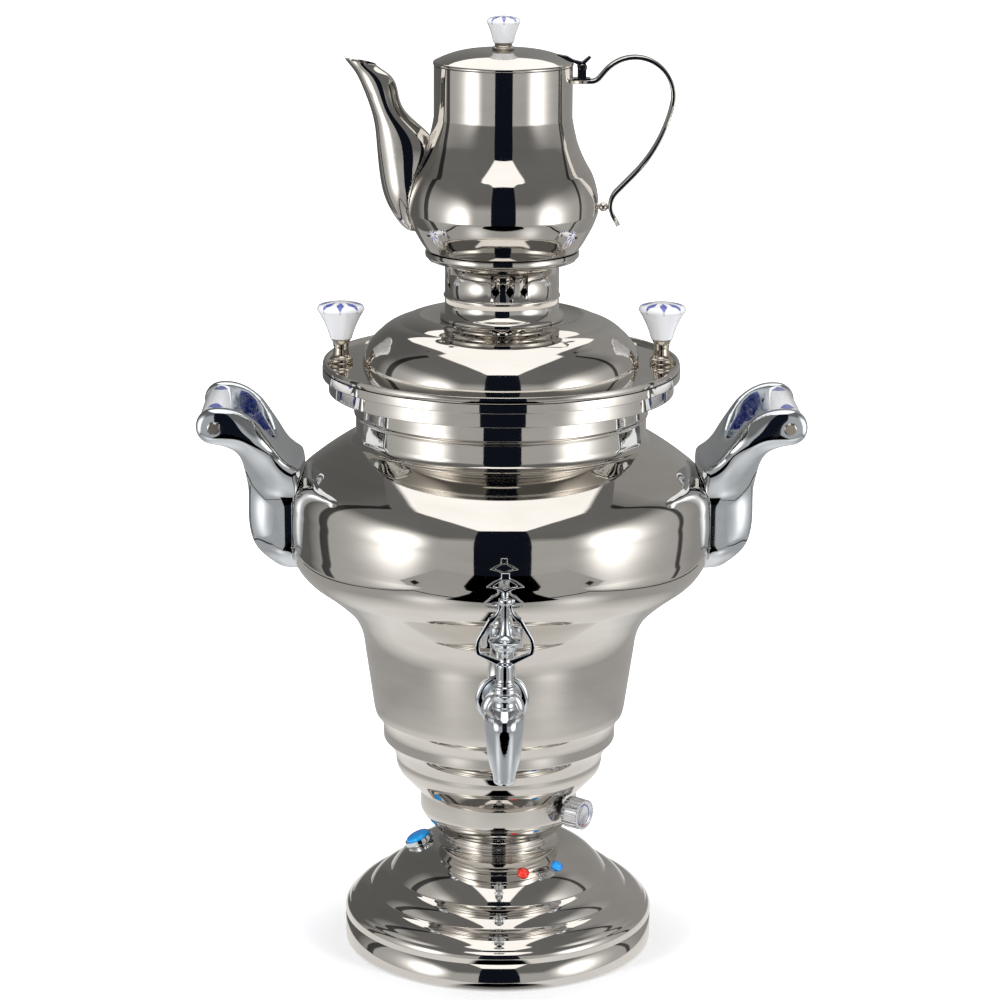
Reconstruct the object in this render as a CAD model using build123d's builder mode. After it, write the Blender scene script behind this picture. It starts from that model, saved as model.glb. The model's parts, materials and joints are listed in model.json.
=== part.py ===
from build123d import *
import math
import os

os.makedirs("parts", exist_ok=True)

# Electric samovar with a teapot on its crown, in millimetres.
# The origin is the middle of the feet on the table, +Z is up and the tap faces -Y.
# Azimuths are counted from the front, towards +X.

# Fits and walls
running_fit = 0.05
press_gap = 0.05
lift_gap = 0.3
sheet_wall = 1.2
vessel_wall = 1.0
teapot_wall = 1.0

# Base
base_radius = 116.5
base_ring_height = 19.6
base_ring_wall = 1.5
foot_drop = 2.0
rubber_foot_radius = 9.0
rubber_foot_height = 5.0
rubber_foot_circle = 84.0
rubber_foot_chamfer = 0.8
base_plate_thickness = 1.5
base_lip_width = 15.0
base_lip_overlap = 3.0
base_screw_radius = 1.9
base_screw_head_radius = 3.6
base_screw_length = 8.0
dome_rim_height = 2.4
dome_shoulder_step = 2.9
dome_shoulder_rise = 6.0
outer_groove_step = 2.6
outer_groove_rise = 3.0
middle_groove_step = 13.5
middle_groove_rise = 8.5
inner_groove_step = 15.5
inner_groove_rise = 11.5
dome_top_radius = 48.0
dome_top_rise = 24.0
dome_top_swell = 4.2
column_radius = 42.0
dome_neck_rise = 3.5

# Column and waist ring
column_height = 6.0
column_bead = 1.3
column_wall = 5.0
waist_foot_radius = 45.0
waist_mid_radius = 52.4
waist_mid_rise = 8.3
waist_radius = 59.2
waist_upper_rise = 10.2
waist_band_height = 13.5
waist_wall = 1.5

# Vessel, each stage by its radius and its rise over the stage below
vessel_foot_radius = 59.5
flare_radius = 73.5
flare_rise = 15.0
lower_step_radius = 77.8
lower_step_round = 10.0
lower_step_band = 3.0
upper_step_radius = 87.2
upper_step_cove = 14.8
upper_step_band = 7.4
waistline_radius = 93.2
waistline_cove = 12.6
taper_foot_radius = 94.3
taper_foot_rise = 4.7
taper_top_radius = 101.2
taper_rise = 48.5
sweep_radius = 113.6
sweep_rise = 28.8
under_belly_radius = 141.0
under_belly_rise = 23.0
belly_radius = 156.5
belly_lower_rise = 31.7
belly_band = 25.8
belly_swell = 0.5
shoulder_radius = 144.4
shoulder_rise = 25.3
cone_top_radius = 112.6
cone_rise = 22.2
neck_radius = 107.0
neck_fillet_rise = 8.7
neck_height = 27.5
neck_bead = 1.5
rim_band_radius = 126.8
rim_band_height = 11.0
rim_radius = 131.3
rim_bead_height = 6.5
vessel_flange_bore = 52.0

# Tank floor, heater and controls
floor_height = 3.0
floor_upturn = 8.0
floor_thickness = 1.2
element_tube_radius = 4.25
element_loop_radius = 58.0
element_rise = 14.0
element_leg_angle = 24.0
element_tail = 16.0
element_nut_flats = 15.0
element_nut_height = 5.0
cutout_radius = 9.0
cutout_height = 6.0
cutout_offset = 26.0
tie_rod_radius = 4.0
tie_nut_flats = 13.0
tie_nut_height = 6.5
tie_washer_radius = 20.0
tie_washer_thickness = 2.0
tie_rod_tail = 6.0
dome_bore_radius = 12.0
thermostat_azimuth = 52.5
thermostat_rise = 26.5
thermostat_near = 18.0
thermostat_far = 46.0
thermostat_width = 28.0
thermostat_height = 20.0
bush_radius = 4.2
bush_shoulder_radius = 5.2
bush_stand = 2.6
knob_shaft_radius = 3.0
knob_shaft_length = 12.0
knob_neck_radius = 6.0
knob_neck_length = 4.2
knob_radius = 11.8
knob_length = 13.5
knob_dish = 0.8
knob_flutes = 24
knob_flute_radius = 0.5

# Switch and lamps on the dome
switch_azimuth = 268.0
switch_circle = 59.5
switch_lens_radius = 9.3
switch_bezel_radius = 11.4
switch_stand = 4.2
switch_lens_swell = 2.6
switch_travel = 2.5
switch_body_radius = 9.8
switch_body_depth = 16.0
switch_case_wall = 1.4
lamp_circle = 63.0
red_lamp_azimuth = 16.0
blue_lamp_azimuth = 43.0
lamp_radius = 3.4
lamp_collar_radius = 4.6
lamp_collar_height = 1.2
lamp_lens_swell = 2.4
lamp_depth = 12.0

# Cord gland
gland_rise = 13.4
gland_flange_radius = 6.0
gland_flange_depth = 2.4
gland_barrel_radius = 4.5
gland_bore_radius = 3.2
gland_length = 13.0

# Tap
tap_rise = 35.0
tap_key_half = 20.5
tap_key_clearance = 3.0
rosette_radius = 19.5
rosette_depth = 4.0
tap_dome_radius = 15.4
tap_hood_length = 19.0
tap_hood_round = 7.0
tap_barrel_radius = 10.5
spout_drop = 35.5
spout_tip_radius = 6.6
spout_lip_radius = 7.6
spout_lip_height = 3.0
spout_back_offset = 4.0
spout_back_rise = 5.0
spout_low_radius = 8.0
spout_mid_radius = 12.5
spout_mid_rise = 20.0
spout_top_radius = 13.9
spout_top_rise = 22.5
spout_crest = 3.1
spout_bore_radius = 4.5
tap_band_radius = 10.95
tap_band_height = 9.8
tap_head_rise = 14.4
tap_collar_radius = 8.8
tap_collar_height = 5.2
tap_cap_radius = 7.7
tap_cap_height = 10.6
tap_cap_bead = 0.7
plug_radius = 6.2
plug_stem_radius = 3.6
tap_shank_radius = 7.0
tap_shank_length = 15.0
tap_washer_radius = 11.0
tap_washer_depth = 4.0
tap_nut_flats = 22.0
tap_nut_depth = 6.0
key_bead_height = 9.3
key_stem_radius = 5.85
key_stem_height = 11.5
key_plate = 4.0
key_bar = 3.0
key_low_rise = 7.1
key_wide_rise = 19.0
key_shoulder_rise = 33.5
key_shoulder_half = 11.2
key_neck_rise = 44.0
key_neck_half = 5.0
key_collar_rise = 47.5
key_collar_radius = 4.7
key_spindle_radius = 3.4
key_bowl_radius = 11.2
finial_gap = 3.6
finial_half = 13.7
finial_tip_rise = 4.4
finial_waist_half = 8.0
finial_waist_rise = 8.6
finial_point_half = 3.05
finial_height = 14.8

# Handles
handle_rise = 91.5
handle_reach = 51.5
grip_radius = 12.0
grip_length = 80.0
boss_radius = 13.8
arm_thickness = 12.0
handle_foot_reach = 27.9
handle_foot_drop = 26.8
window_drop = 42.0
handle_foot_round = 24.0
handle_seat_depth = 12.0
grip_bolt_radius = 3.0
grip_bolt_head_radius = 4.6
grip_bolt_head = 2.4
handle_screw_radius = 2.5
handle_screw_head_radius = 4.4
handle_screw_head = 3.5
handle_screw_length = 14.0
handle_screw_angle = 8.0
handle_screw_rise = 13.0

# Main lid
lid_rim_radius = 130.4
lid_rim_height = 4.6
lid_rim_width = 2.3
lid_valley_drop = 2.0
lid_dome_foot_radius = 102.0
lid_dome_low_radius = 90.0
lid_dome_low_rise = 22.4
lid_dome_mid_radius = 75.0
lid_dome_mid_rise = 9.0
lid_dome_top_radius = 60.0
lid_dome_top_rise = 5.5
lid_top_dip = 3.2
lid_bore_radius = 36.0
lid_skirt_depth = 10.0
lid_skirt_gap = 1.0
lid_knob_offset = 117.5
ferrule_foot_radius = 8.3
ferrule_waist_radius = 5.75
ferrule_top_radius = 7.85
ferrule_height = 18.0
lid_knob_foot_radius = 8.0
lid_knob_top_radius = 17.5
lid_knob_height = 27.0
lid_screw_radius = 2.0
lid_screw_head_radius = 4.2
lid_screw_head = 2.2
lid_screw_reach = 12.0

# Crown
crown_radius = 41.7
crown_foot_radius = 45.0
crown_foot_height = 3.5
crown_height = 39.7
crown_bead_rise = 17.0
crown_bead = 1.0
crown_wall = 1.2
cup_inner_rise = 1.0
cup_radius = 55.8
cup_rise = 5.2
cup_rim_height = 4.0
crown_turn = 6.9
diamond_width = 6.6
diamond_height = 9.4
diamond_rise = 26.2
diamond_step = 14.4
diamond_groups = 4
diamonds_per_group = 3

# Teapot
pot_foot_radius = 50.5
pot_foot_height = 6.0
pot_low_radius = 62.2
pot_low_rise = 11.0
pot_belly_radius = 69.6
pot_belly_rise = 17.0
pot_belly_band = 6.0
pot_upper_radius = 64.0
pot_upper_rise = 23.0
pot_waist_radius = 53.6
pot_waist_rise = 22.0
pot_mouth_radius = 50.0
pot_waist_top_rise = 17.0
pot_neck_height = 37.0
spout_wall = 1.0
strainer_radius = 12.0
strainer_hole_radius = 1.1
strainer_lean = 26.0

# Spout sections: drop below the teapot's rim, reach of the middle, half length, half width
spout_sections = [
    (-5.0, 102.0, 12.0, 9.5),
    (4.3, 95.9, 10.8, 9.5),
    (17.2, 88.1, 12.2, 10.5),
    (34.5, 81.6, 12.6, 11.5),
    (51.0, 71.7, 19.7, 13.5),
    (70.0, 68.9, 20.9, 16.0),
    (91.0, 67.7, 18.8, 16.0),
    (109.0, 66.2, 12.0, 12.0),
    (119.5, 62.0, 5.0, 6.0),
]
spout_lip_reach = 112.8
spout_lip_rise = 4.3
spout_heel_reach = 87.9

# Teapot lid and hinge
pot_lid_radius = 50.3
pot_lid_rim = 2.5
pot_lid_shoulder_radius = 46.0
pot_lid_shoulder_rise = 2.1
pot_lid_top_radius = 17.0
pot_lid_top_rise = 6.4
pot_lid_skirt_depth = 6.0
pot_lid_skirt_gap = 0.6
pot_ferrule_radius = 7.2
pot_ferrule_height = 5.0
pot_knob_foot_radius = 7.6
pot_knob_radius = 12.3
pot_knob_height = 18.63
pot_screw_radius = 1.6
pot_screw_head_radius = 3.4
pot_screw_head = 1.6
pot_screw_reach = 10.0
hinge_offset = 6.4
hinge_drop = 0.7
hinge_knuckle_radius = 3.4
hinge_knuckle_half = 3.8
hinge_pin_radius = 1.5
hinge_cheek_width = 2.2
hinge_cheek_half = 2.9
hinge_plate_thickness = 1.1
hinge_pin_head_radius = 2.3
hinge_pin_head = 1.0
leaf_thickness = 1.2
leaf_reach = 12.0
thumb_rise = 7.7
thumb_reach = 6.0

# Teapot handle, a bent strip
strip_width = 11.0
strip_thickness = 3.0
strip_root_drop = 11.3
strip_root_length = 13.0
strip_lift_radius = 8.0
strip_lift_angle = 50.0
strip_climb = 6.0
strip_crest_radius = 28.0
strip_crest_angle = 152.0
strip_back_radius = 103.0
strip_back_angle = 32.4
strip_fall = 17.0
strip_curl_radius = 15.5
strip_curl_angle = 74.4
strip_tail = 7.0
bead_radius = 3.5
bead_pin_radius = 1.6


# Radii of the dome's grooves, each a step in from the one outside it
dome_shoulder_radius = base_radius - dome_shoulder_step
outer_groove_radius = dome_shoulder_radius - outer_groove_step
middle_groove_radius = outer_groove_radius - middle_groove_step
inner_groove_radius = middle_groove_radius - inner_groove_step

# Levels, from the table up
ring_top = foot_drop + base_ring_height
dome_rise = (
    dome_rim_height + dome_shoulder_rise + outer_groove_rise + middle_groove_rise
    + inner_groove_rise + dome_top_rise + dome_neck_rise
)
dome_top = ring_top + dome_rise
waist_bottom = dome_top + column_height
waist_top = waist_bottom + waist_mid_rise + waist_upper_rise + waist_band_height
taper_foot = (
    waist_top + flare_rise + lower_step_round + lower_step_band + upper_step_cove
    + upper_step_band + waistline_cove + taper_foot_rise
)
taper_top = taper_foot + taper_rise
sweep_top = taper_top + sweep_rise
belly_foot = sweep_top + under_belly_rise + belly_lower_rise
belly_top = belly_foot + belly_band
shoulder_top = belly_top + shoulder_rise + cone_rise
neck_foot = shoulder_top + neck_fillet_rise
rim_foot = neck_foot + neck_height
rim_top = rim_foot + rim_band_height + rim_bead_height
tank_floor_level = taper_foot + floor_height
tap_level = taper_foot + tap_rise


def bowed(start, end, swell):
    # One stage of a profile. A swell bows it out from the axis, and a negative one hollows it.
    if swell:
        run, lift = end[0] - start[0], end[1] - start[1]
        bow = 2 * swell / math.hypot(run, lift)
        Bezier(start, ((start[0] + end[0]) / 2 + lift * bow, (start[1] + end[1]) / 2 - run * bow), end)
    else:
        Line(start, end)


def corners(start, stages):
    # Corner points of a profile whose stages are (radius, rise, swell).
    points = [start]
    for radius, rise, swell in stages:
        points.append((radius, points[-1][1] + rise))
    return points


def turned(start, stages):
    # Closed outline of a solid turned body: up through the stages and back down its axis.
    points = corners(start, stages)
    Line((0, start[1]), start)
    for low, high, stage in zip(points, points[1:], stages):
        bowed(low, high, stage[2])
    Line(points[-1], (0, points[-1][1]))
    Line((0, points[-1][1]), (0, start[1]))


def inset(points, wall):
    # The corner points moved inwards by the wall.
    normals = []
    for low, high in zip(points, points[1:]):
        run, lift = high[0] - low[0], high[1] - low[1]
        span = math.hypot(run, lift)
        normals.append((-lift / span, run / span))
    moved = []
    for point, before, after in zip(points, normals[:1] + normals, normals + normals[-1:]):
        grow = wall / (1 + before[0] * after[0] + before[1] * after[1])
        moved.append((point[0] + (before[0] + after[0]) * grow, point[1] + (before[1] + after[1]) * grow))
    return moved


def sheet(start, stages, wall):
    # Closed outline of a turned sheet of the given wall, open at both of its ends.
    outer = corners(start, stages)
    inner = inset(outer, wall)
    for low, high, stage in zip(outer, outer[1:], stages):
        bowed(low, high, stage[2])
    Line(outer[-1], inner[-1])
    for low, high, stage in zip(inner, inner[1:], stages):
        bowed(low, high, stage[2])
    Line(inner[0], outer[0])


def taper_radius(level):
    # Outer radius of the vessel's lower taper.
    share = (level - taper_foot) / taper_rise
    return taper_foot_radius + share * (taper_top_radius - taper_foot_radius)


def facing(azimuth, distance, level):
    # Plane whose normal points out from the axis, at a distance from it.
    angle = math.radians(azimuth)
    out = Vector(math.sin(angle), -math.cos(angle), 0)
    across = Vector(math.cos(angle), math.sin(angle), 0)
    return Plane(origin=out * distance + Vector(0, 0, level), x_dir=across, z_dir=out)


# The dome's crest runs from its inner groove to its top.
crest_foot = dome_top - dome_neck_rise - dome_top_rise
crest_run = dome_top_radius - inner_groove_radius
crest_bow = 2 * dome_top_swell / math.hypot(crest_run, dome_top_rise)
crest_pull = dome_top_rise * crest_bow
crest_lift = -crest_run * crest_bow


def on_dome(azimuth, circle):
    # Plane that touches the dome's crest where it has the given radius.
    slope = crest_run / 2 + crest_pull
    root = math.sqrt(slope**2 - 2 * crest_pull * (circle - inner_groove_radius))
    share = (slope + root) / (2 * crest_pull)
    level = crest_foot + dome_top_rise * share + 2 * crest_lift * share * (1 - share)
    run = crest_run + 2 * crest_pull * (1 - 2 * share)
    rise = dome_top_rise + 2 * crest_lift * (1 - 2 * share)
    angle = math.radians(azimuth)
    out = Vector(math.sin(angle), -math.cos(angle), 0)
    across = Vector(math.cos(angle), math.sin(angle), 0)
    normal = out * rise - Vector(0, 0, run)
    return Plane(origin=out * circle + Vector(0, 0, level), x_dir=across, z_dir=normal)


vessel_stages = [
    (flare_radius, flare_rise, 0),
    (lower_step_radius, lower_step_round, 1.0),
    (lower_step_radius, lower_step_band, 0),
    (upper_step_radius, upper_step_cove, -1.3),
    (upper_step_radius, upper_step_band, 0),
    (waistline_radius, waistline_cove, -1.3),
    (taper_foot_radius, taper_foot_rise, 0),
    (taper_top_radius, taper_rise, 0),
    (sweep_radius, sweep_rise, -2.6),
    (under_belly_radius, under_belly_rise, -0.8),
    (belly_radius, belly_lower_rise, 4.6),
    (belly_radius, belly_band, belly_swell),
    (shoulder_radius, shoulder_rise, 3.4),
    (cone_top_radius, cone_rise, 0.8),
    (neck_radius, neck_fillet_rise, -2.0),
    (neck_radius, neck_height * 0.36, 0),
    (neck_radius, neck_height * 0.12, neck_bead),
    (neck_radius, neck_height * 0.52, 0),
    (rim_band_radius, 0, 0),
    (rim_band_radius, rim_band_height, 0),
    (rim_radius, 0, 0),
    (rim_radius, rim_bead_height, 0),
]

# Outside and inside forms of the vessel, for what seats against its wall
with BuildPart() as vessel_form:
    with BuildSketch(Plane.XZ):
        with BuildLine():
            turned((vessel_foot_radius, waist_top), vessel_stages)
        make_face()
    revolve(axis=Axis.Z)

# ---------------------------------------------------------------- base

lip_inner = base_radius - base_lip_width
plate_bottom = rubber_foot_height
plate_top = plate_bottom + base_plate_thickness
screw_circle = base_radius - base_ring_wall - base_lip_width / 2

with BuildPart() as base_ring:
    with BuildSketch(Plane.XZ):
        wall_middle = base_radius - base_ring_wall / 2
        with Locations((wall_middle, foot_drop + base_ring_height / 2)):
            Rectangle(base_ring_wall, base_ring_height)
        with Locations(((lip_inner + base_radius) / 2, plate_top + base_ring_wall / 2)):
            Rectangle(base_lip_width, base_ring_wall)
        joggle = base_radius - base_ring_wall * 1.5
        with Locations((joggle, ring_top)):
            Rectangle(base_ring_wall, 2 * base_lip_overlap)
    revolve(axis=Axis.Z)
    with Locations(Plane.XY.offset(plate_top)):
        with PolarLocations(screw_circle, 4, start_angle=45):
            Hole(base_screw_radius + running_fit)
    with BuildSketch(facing(180, 0, gland_rise)):
        Circle(gland_barrel_radius + running_fit)
    extrude(amount=base_radius + 1, mode=Mode.SUBTRACT)
base_ring.part.label = "base_ring"
export_step(base_ring.part, "parts/base_ring.step")

with BuildPart() as base_plate:
    with BuildSketch(Plane.XY.offset(plate_bottom)):
        Circle(base_radius - base_ring_wall - lift_gap)
        with PolarLocations(screw_circle, 4, start_angle=45):
            Circle(base_screw_radius + running_fit, mode=Mode.SUBTRACT)
        with PolarLocations(rubber_foot_circle / 2, 8):
            SlotOverall(18, 4, mode=Mode.SUBTRACT)
    extrude(amount=base_plate_thickness)
base_plate.part.label = "base_plate"
export_step(base_plate.part, "parts/base_plate.step")

with BuildPart() as base_screws:
    with BuildSketch(Plane.XY.offset(plate_bottom)):
        with PolarLocations(screw_circle, 4, start_angle=45):
            Circle(base_screw_radius)
    extrude(amount=base_screw_length)
    with BuildSketch(Plane.XY.offset(plate_bottom)):
        with PolarLocations(screw_circle, 4, start_angle=45):
            Circle(base_screw_head_radius)
    extrude(amount=-base_screw_radius, taper=20)
base_screws.part.label = "base_screws"
export_step(base_screws.part, "parts/base_screws.step")

with BuildPart() as rubber_feet:
    with BuildSketch():
        with PolarLocations(rubber_foot_circle, 4, start_angle=45):
            Circle(rubber_foot_radius)
    extrude(amount=rubber_foot_height)
    chamfer(rubber_feet.faces().sort_by(Axis.Z)[:4].edges(), rubber_foot_chamfer)
rubber_feet.part.label = "rubber_feet"
export_step(rubber_feet.part, "parts/rubber_feet.step")

with BuildPart() as base_shell:
    with BuildSketch(Plane.XZ):
        with BuildLine():
            sheet(
                (base_radius, ring_top),
                [
                    (base_radius, dome_rim_height, 0),
                    (dome_shoulder_radius, dome_shoulder_rise, 0.9),
                    (outer_groove_radius, outer_groove_rise, 0.2),
                    (middle_groove_radius, middle_groove_rise, 1.2),
                    (inner_groove_radius, inner_groove_rise, 1.6),
                    (dome_top_radius, dome_top_rise, dome_top_swell),
                    (column_radius, dome_neck_rise, -0.8),
                    (dome_bore_radius, 0, 0),
                ],
                sheet_wall,
            )
        make_face()
    revolve(axis=Axis.Z)
    with BuildSketch(on_dome(switch_azimuth, switch_circle)):
        Circle(switch_body_radius + running_fit)
    extrude(amount=switch_body_depth, both=True, mode=Mode.SUBTRACT)
    for lamp_azimuth in (red_lamp_azimuth, blue_lamp_azimuth):
        with BuildSketch(on_dome(lamp_azimuth, lamp_circle)):
            Circle(lamp_radius + running_fit)
        extrude(amount=lamp_depth / 2, both=True, mode=Mode.SUBTRACT)
base_shell.part.label = "base_shell"
export_step(base_shell.part, "parts/base_shell.step")

# ---------------------------------------------------------------- controls on the dome

switch_plane = on_dome(switch_azimuth, switch_circle)

with BuildPart() as switch_bezel:
    with BuildSketch(switch_plane.offset(lift_gap)):
        Circle(switch_bezel_radius)
    extrude(amount=switch_stand - lift_gap, taper=8)
    with BuildSketch(switch_plane.offset(lift_gap)):
        Circle(switch_body_radius)
    extrude(amount=-switch_body_depth)
    with BuildSketch(switch_plane.offset(switch_stand)):
        Circle(switch_lens_radius + lift_gap / 2)
    extrude(amount=switch_case_wall - switch_stand - switch_body_depth, mode=Mode.SUBTRACT)
switch_bezel.part.label = "switch_bezel"
export_step(switch_bezel.part, "parts/switch_bezel.step")

with BuildPart() as switch_button:
    with BuildSketch(switch_plane.offset(switch_stand - switch_body_depth + switch_travel + 2)):
        Circle(switch_lens_radius)
    extrude(amount=switch_body_depth - switch_travel - 2 + 0.6)
    with BuildSketch(Plane(switch_plane.location * Location((0, 0, switch_stand + 0.6), (90, 0, 0)))):
        with BuildLine():
            Line((0, 0), (switch_lens_radius, 0))
            lens_shoulder = (switch_lens_radius, switch_lens_swell)
            Bezier((switch_lens_radius, 0), lens_shoulder, (0, switch_lens_swell))
            Line((0, switch_lens_swell), (0, 0))
        make_face()
    revolve(axis=Axis(switch_plane.origin, switch_plane.z_dir))
switch_button.part.label = "switch_button"
export_step(switch_button.part, "parts/switch_button.step")

for lamp_name, lamp_azimuth in (("red_lamp", red_lamp_azimuth), ("blue_lamp", blue_lamp_azimuth)):
    lamp_plane = on_dome(lamp_azimuth, lamp_circle)
    with BuildPart() as lamp:
        with BuildSketch(lamp_plane.offset(lamp_collar_height)):
            Circle(lamp_radius)
        extrude(amount=-lamp_depth)
        with BuildSketch(lamp_plane.offset(press_gap)):
            Circle(lamp_collar_radius)
        extrude(amount=lamp_collar_height)
        lens_seat = Location((0, 0, lamp_collar_height + press_gap), (90, 0, 0))
        with BuildSketch(Plane(lamp_plane.location * lens_seat)):
            with BuildLine():
                Line((0, 0), (lamp_radius, 0))
                Bezier((lamp_radius, 0), (lamp_radius, lamp_lens_swell), (0, lamp_lens_swell))
                Line((0, lamp_lens_swell), (0, 0))
            make_face()
        revolve(axis=Axis(lamp_plane.origin, lamp_plane.z_dir))
    lamp.part.label = lamp_name
    export_step(lamp.part, "parts/" + lamp_name + ".step")

# ---------------------------------------------------------------- column and waist

with BuildPart() as column:
    with BuildSketch(Plane.XZ):
        with BuildLine():
            turned(
                (column_radius, dome_top),
                [
                    (column_radius, column_height / 2, column_bead),
                    (column_radius, column_height / 2, column_bead),
                ],
            )
        make_face()
    revolve(axis=Axis.Z)
    with BuildSketch(Plane.XY.offset(dome_top)):
        Circle(column_radius - column_wall)
    extrude(amount=column_height, mode=Mode.SUBTRACT)
column.part.label = "column"
export_step(column.part, "parts/column.step")

thermostat_level = waist_bottom + thermostat_rise
knob_plane = facing(thermostat_azimuth, 0, thermostat_level)

with BuildPart() as waist_ring:
    with BuildSketch(Plane.XZ):
        with BuildLine():
            sheet(
                (column_radius - column_wall, waist_bottom),
                [
                    (waist_foot_radius, 0, 0),
                    (waist_mid_radius, waist_mid_rise, 0.3),
                    (waist_radius, waist_upper_rise, 0.9),
                    (waist_radius, waist_band_height, 0),
                ],
                waist_wall,
            )
        make_face()
    revolve(axis=Axis.Z)
    with BuildSketch(knob_plane):
        Circle(bush_radius + running_fit)
    extrude(amount=waist_radius + 1, mode=Mode.SUBTRACT)
waist_ring.part.label = "waist_ring"
export_step(waist_ring.part, "parts/waist_ring.step")

bush_seat = math.sqrt((waist_radius - waist_wall) ** 2 - bush_shoulder_radius**2) - press_gap
bush_end = waist_radius + bush_stand

with BuildPart() as thermostat_body:
    with BuildSketch(knob_plane.offset(thermostat_near)):
        RectangleRounded(thermostat_width, thermostat_height, 2)
    extrude(amount=thermostat_far - thermostat_near)
    with BuildSketch(knob_plane.offset(thermostat_far)):
        Circle(bush_shoulder_radius)
    extrude(amount=bush_seat - thermostat_far)
    with BuildSketch(knob_plane.offset(bush_seat)):
        Circle(bush_radius)
    extrude(amount=bush_end - bush_seat)
    with BuildSketch(knob_plane.offset(bush_end)):
        Circle(knob_shaft_radius + running_fit)
    extrude(amount=-knob_shaft_length - 1, mode=Mode.SUBTRACT)
thermostat_body.part.label = "thermostat_body"
export_step(thermostat_body.part, "parts/thermostat_body.step")

knob_back = bush_end + lift_gap
with BuildPart() as thermostat_knob:
    with BuildSketch(knob_plane.offset(knob_back)):
        Circle(knob_shaft_radius)
    extrude(amount=-knob_shaft_length)
    with BuildSketch(knob_plane.offset(knob_back)):
        Circle(knob_neck_radius)
    extrude(amount=knob_neck_length)
    with BuildSketch(knob_plane.offset(knob_back + knob_neck_length)):
        Circle(knob_radius)
        with PolarLocations(knob_radius, knob_flutes):
            Circle(knob_flute_radius, mode=Mode.SUBTRACT)
    extrude(amount=knob_length, taper=2)
    with BuildSketch(knob_plane.offset(knob_back + knob_neck_length + knob_length)):
        Circle(knob_radius - 2.5)
    extrude(amount=-knob_dish, taper=30, mode=Mode.SUBTRACT)
thermostat_knob.part.label = "thermostat_knob"
export_step(thermostat_knob.part, "parts/thermostat_knob.step")

# ---------------------------------------------------------------- vessel

tap_wall = taper_radius(tap_level)
tap_plane = facing(0, 0, tap_level)
handle_level = belly_foot + handle_screw_rise

with BuildPart() as vessel_sheet:
    with BuildSketch(Plane.XZ):
        with BuildLine():
            flange = [(vessel_foot_radius, 0, 0)]
            sheet((vessel_flange_bore, waist_top), flange + vessel_stages, vessel_wall)
        make_face()
    revolve(axis=Axis.Z)
    with BuildSketch(tap_plane):
        Circle(tap_shank_radius + running_fit)
    extrude(amount=taper_top_radius + 10, mode=Mode.SUBTRACT)
    for side in (90, 270):
        for swing in (-handle_screw_angle, handle_screw_angle):
            with BuildSketch(facing(side + swing, belly_radius - 10, handle_level)):
                Circle(handle_screw_radius + running_fit)
            extrude(amount=20, mode=Mode.SUBTRACT)

# The vessel is pressed in rings, welded edge to edge and polished over: stepped foot, taper,
# under-belly, shoulder with the belly's band, and neck with the rim
weld_levels = [waist_top, taper_foot, sweep_top, belly_foot, shoulder_top, rim_top]
ring_names = ["vessel_foot", "vessel_taper", "vessel_belly", "vessel_shoulder", "vessel_neck"]
for ring_name, ring_low, ring_high in zip(ring_names, weld_levels, weld_levels[1:]):
    with BuildPart() as vessel_ring:
        add(vessel_sheet.part)
        split(bisect_by=Plane.XY.offset(ring_low), keep=Keep.TOP)
        split(bisect_by=Plane.XY.offset(ring_high), keep=Keep.BOTTOM)
    vessel_ring.part.label = ring_name
    export_step(vessel_ring.part, "parts/" + ring_name + ".step")

floor_clear = vessel_wall + press_gap * 2
floor_rim_level = tank_floor_level + floor_upturn
floor_low = taper_radius(tank_floor_level) - floor_clear
floor_high = taper_radius(floor_rim_level) - floor_clear
leg_spots = [
    Vector(
        element_loop_radius * math.sin(math.radians(turn)),
        element_loop_radius * math.cos(math.radians(turn)),
        0,
    )
    for turn in (-element_leg_angle, element_leg_angle)
]
floor_top = tank_floor_level + floor_thickness
leg_bottom = tank_floor_level - element_tail
loop_level = floor_top + element_rise

with BuildPart() as tank_floor:
    with BuildSketch(Plane.XZ):
        with BuildLine():
            Polyline(
                (0, tank_floor_level),
                (floor_low, tank_floor_level),
                (floor_high, floor_rim_level),
                (floor_high - floor_thickness, floor_rim_level),
                (floor_low - floor_thickness, floor_top),
                (0, floor_top),
                close=True,
            )
        make_face()
    revolve(axis=Axis.Z)
    with BuildSketch(Plane.XY.offset(tank_floor_level)):
        with Locations(*leg_spots):
            Circle(element_tube_radius + running_fit)
    extrude(amount=floor_thickness, mode=Mode.SUBTRACT)
tank_floor.part.label = "tank_floor"
export_step(tank_floor.part, "parts/tank_floor.step")

loop_plane = facing(180 - element_leg_angle, 0, 0)
loop_section = Plane(origin=(0, 0, 0), x_dir=loop_plane.z_dir, z_dir=-loop_plane.x_dir)

with BuildPart() as heating_element:
    with BuildSketch(loop_section):
        with Locations((element_loop_radius, loop_level)):
            Circle(element_tube_radius)
    revolve(axis=Axis.Z, revolution_arc=-360 + 2 * element_leg_angle)
    with BuildSketch(Plane.XY.offset(leg_bottom)):
        with Locations(*leg_spots):
            Circle(element_tube_radius)
    extrude(amount=loop_level - leg_bottom)
    with Locations(*[spot + Vector(0, 0, loop_level) for spot in leg_spots]):
        Sphere(element_tube_radius)
heating_element.part.label = "heating_element"
export_step(heating_element.part, "parts/heating_element.step")

with BuildPart() as element_nuts:
    with BuildSketch(Plane.XY.offset(tank_floor_level)):
        with Locations(*leg_spots):
            RegularPolygon(element_nut_flats / 2, 6, major_radius=False)
            Circle(element_tube_radius + running_fit, mode=Mode.SUBTRACT)
    extrude(amount=-element_nut_height)
element_nuts.part.label = "element_nuts"
export_step(element_nuts.part, "parts/element_nuts.step")

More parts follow.
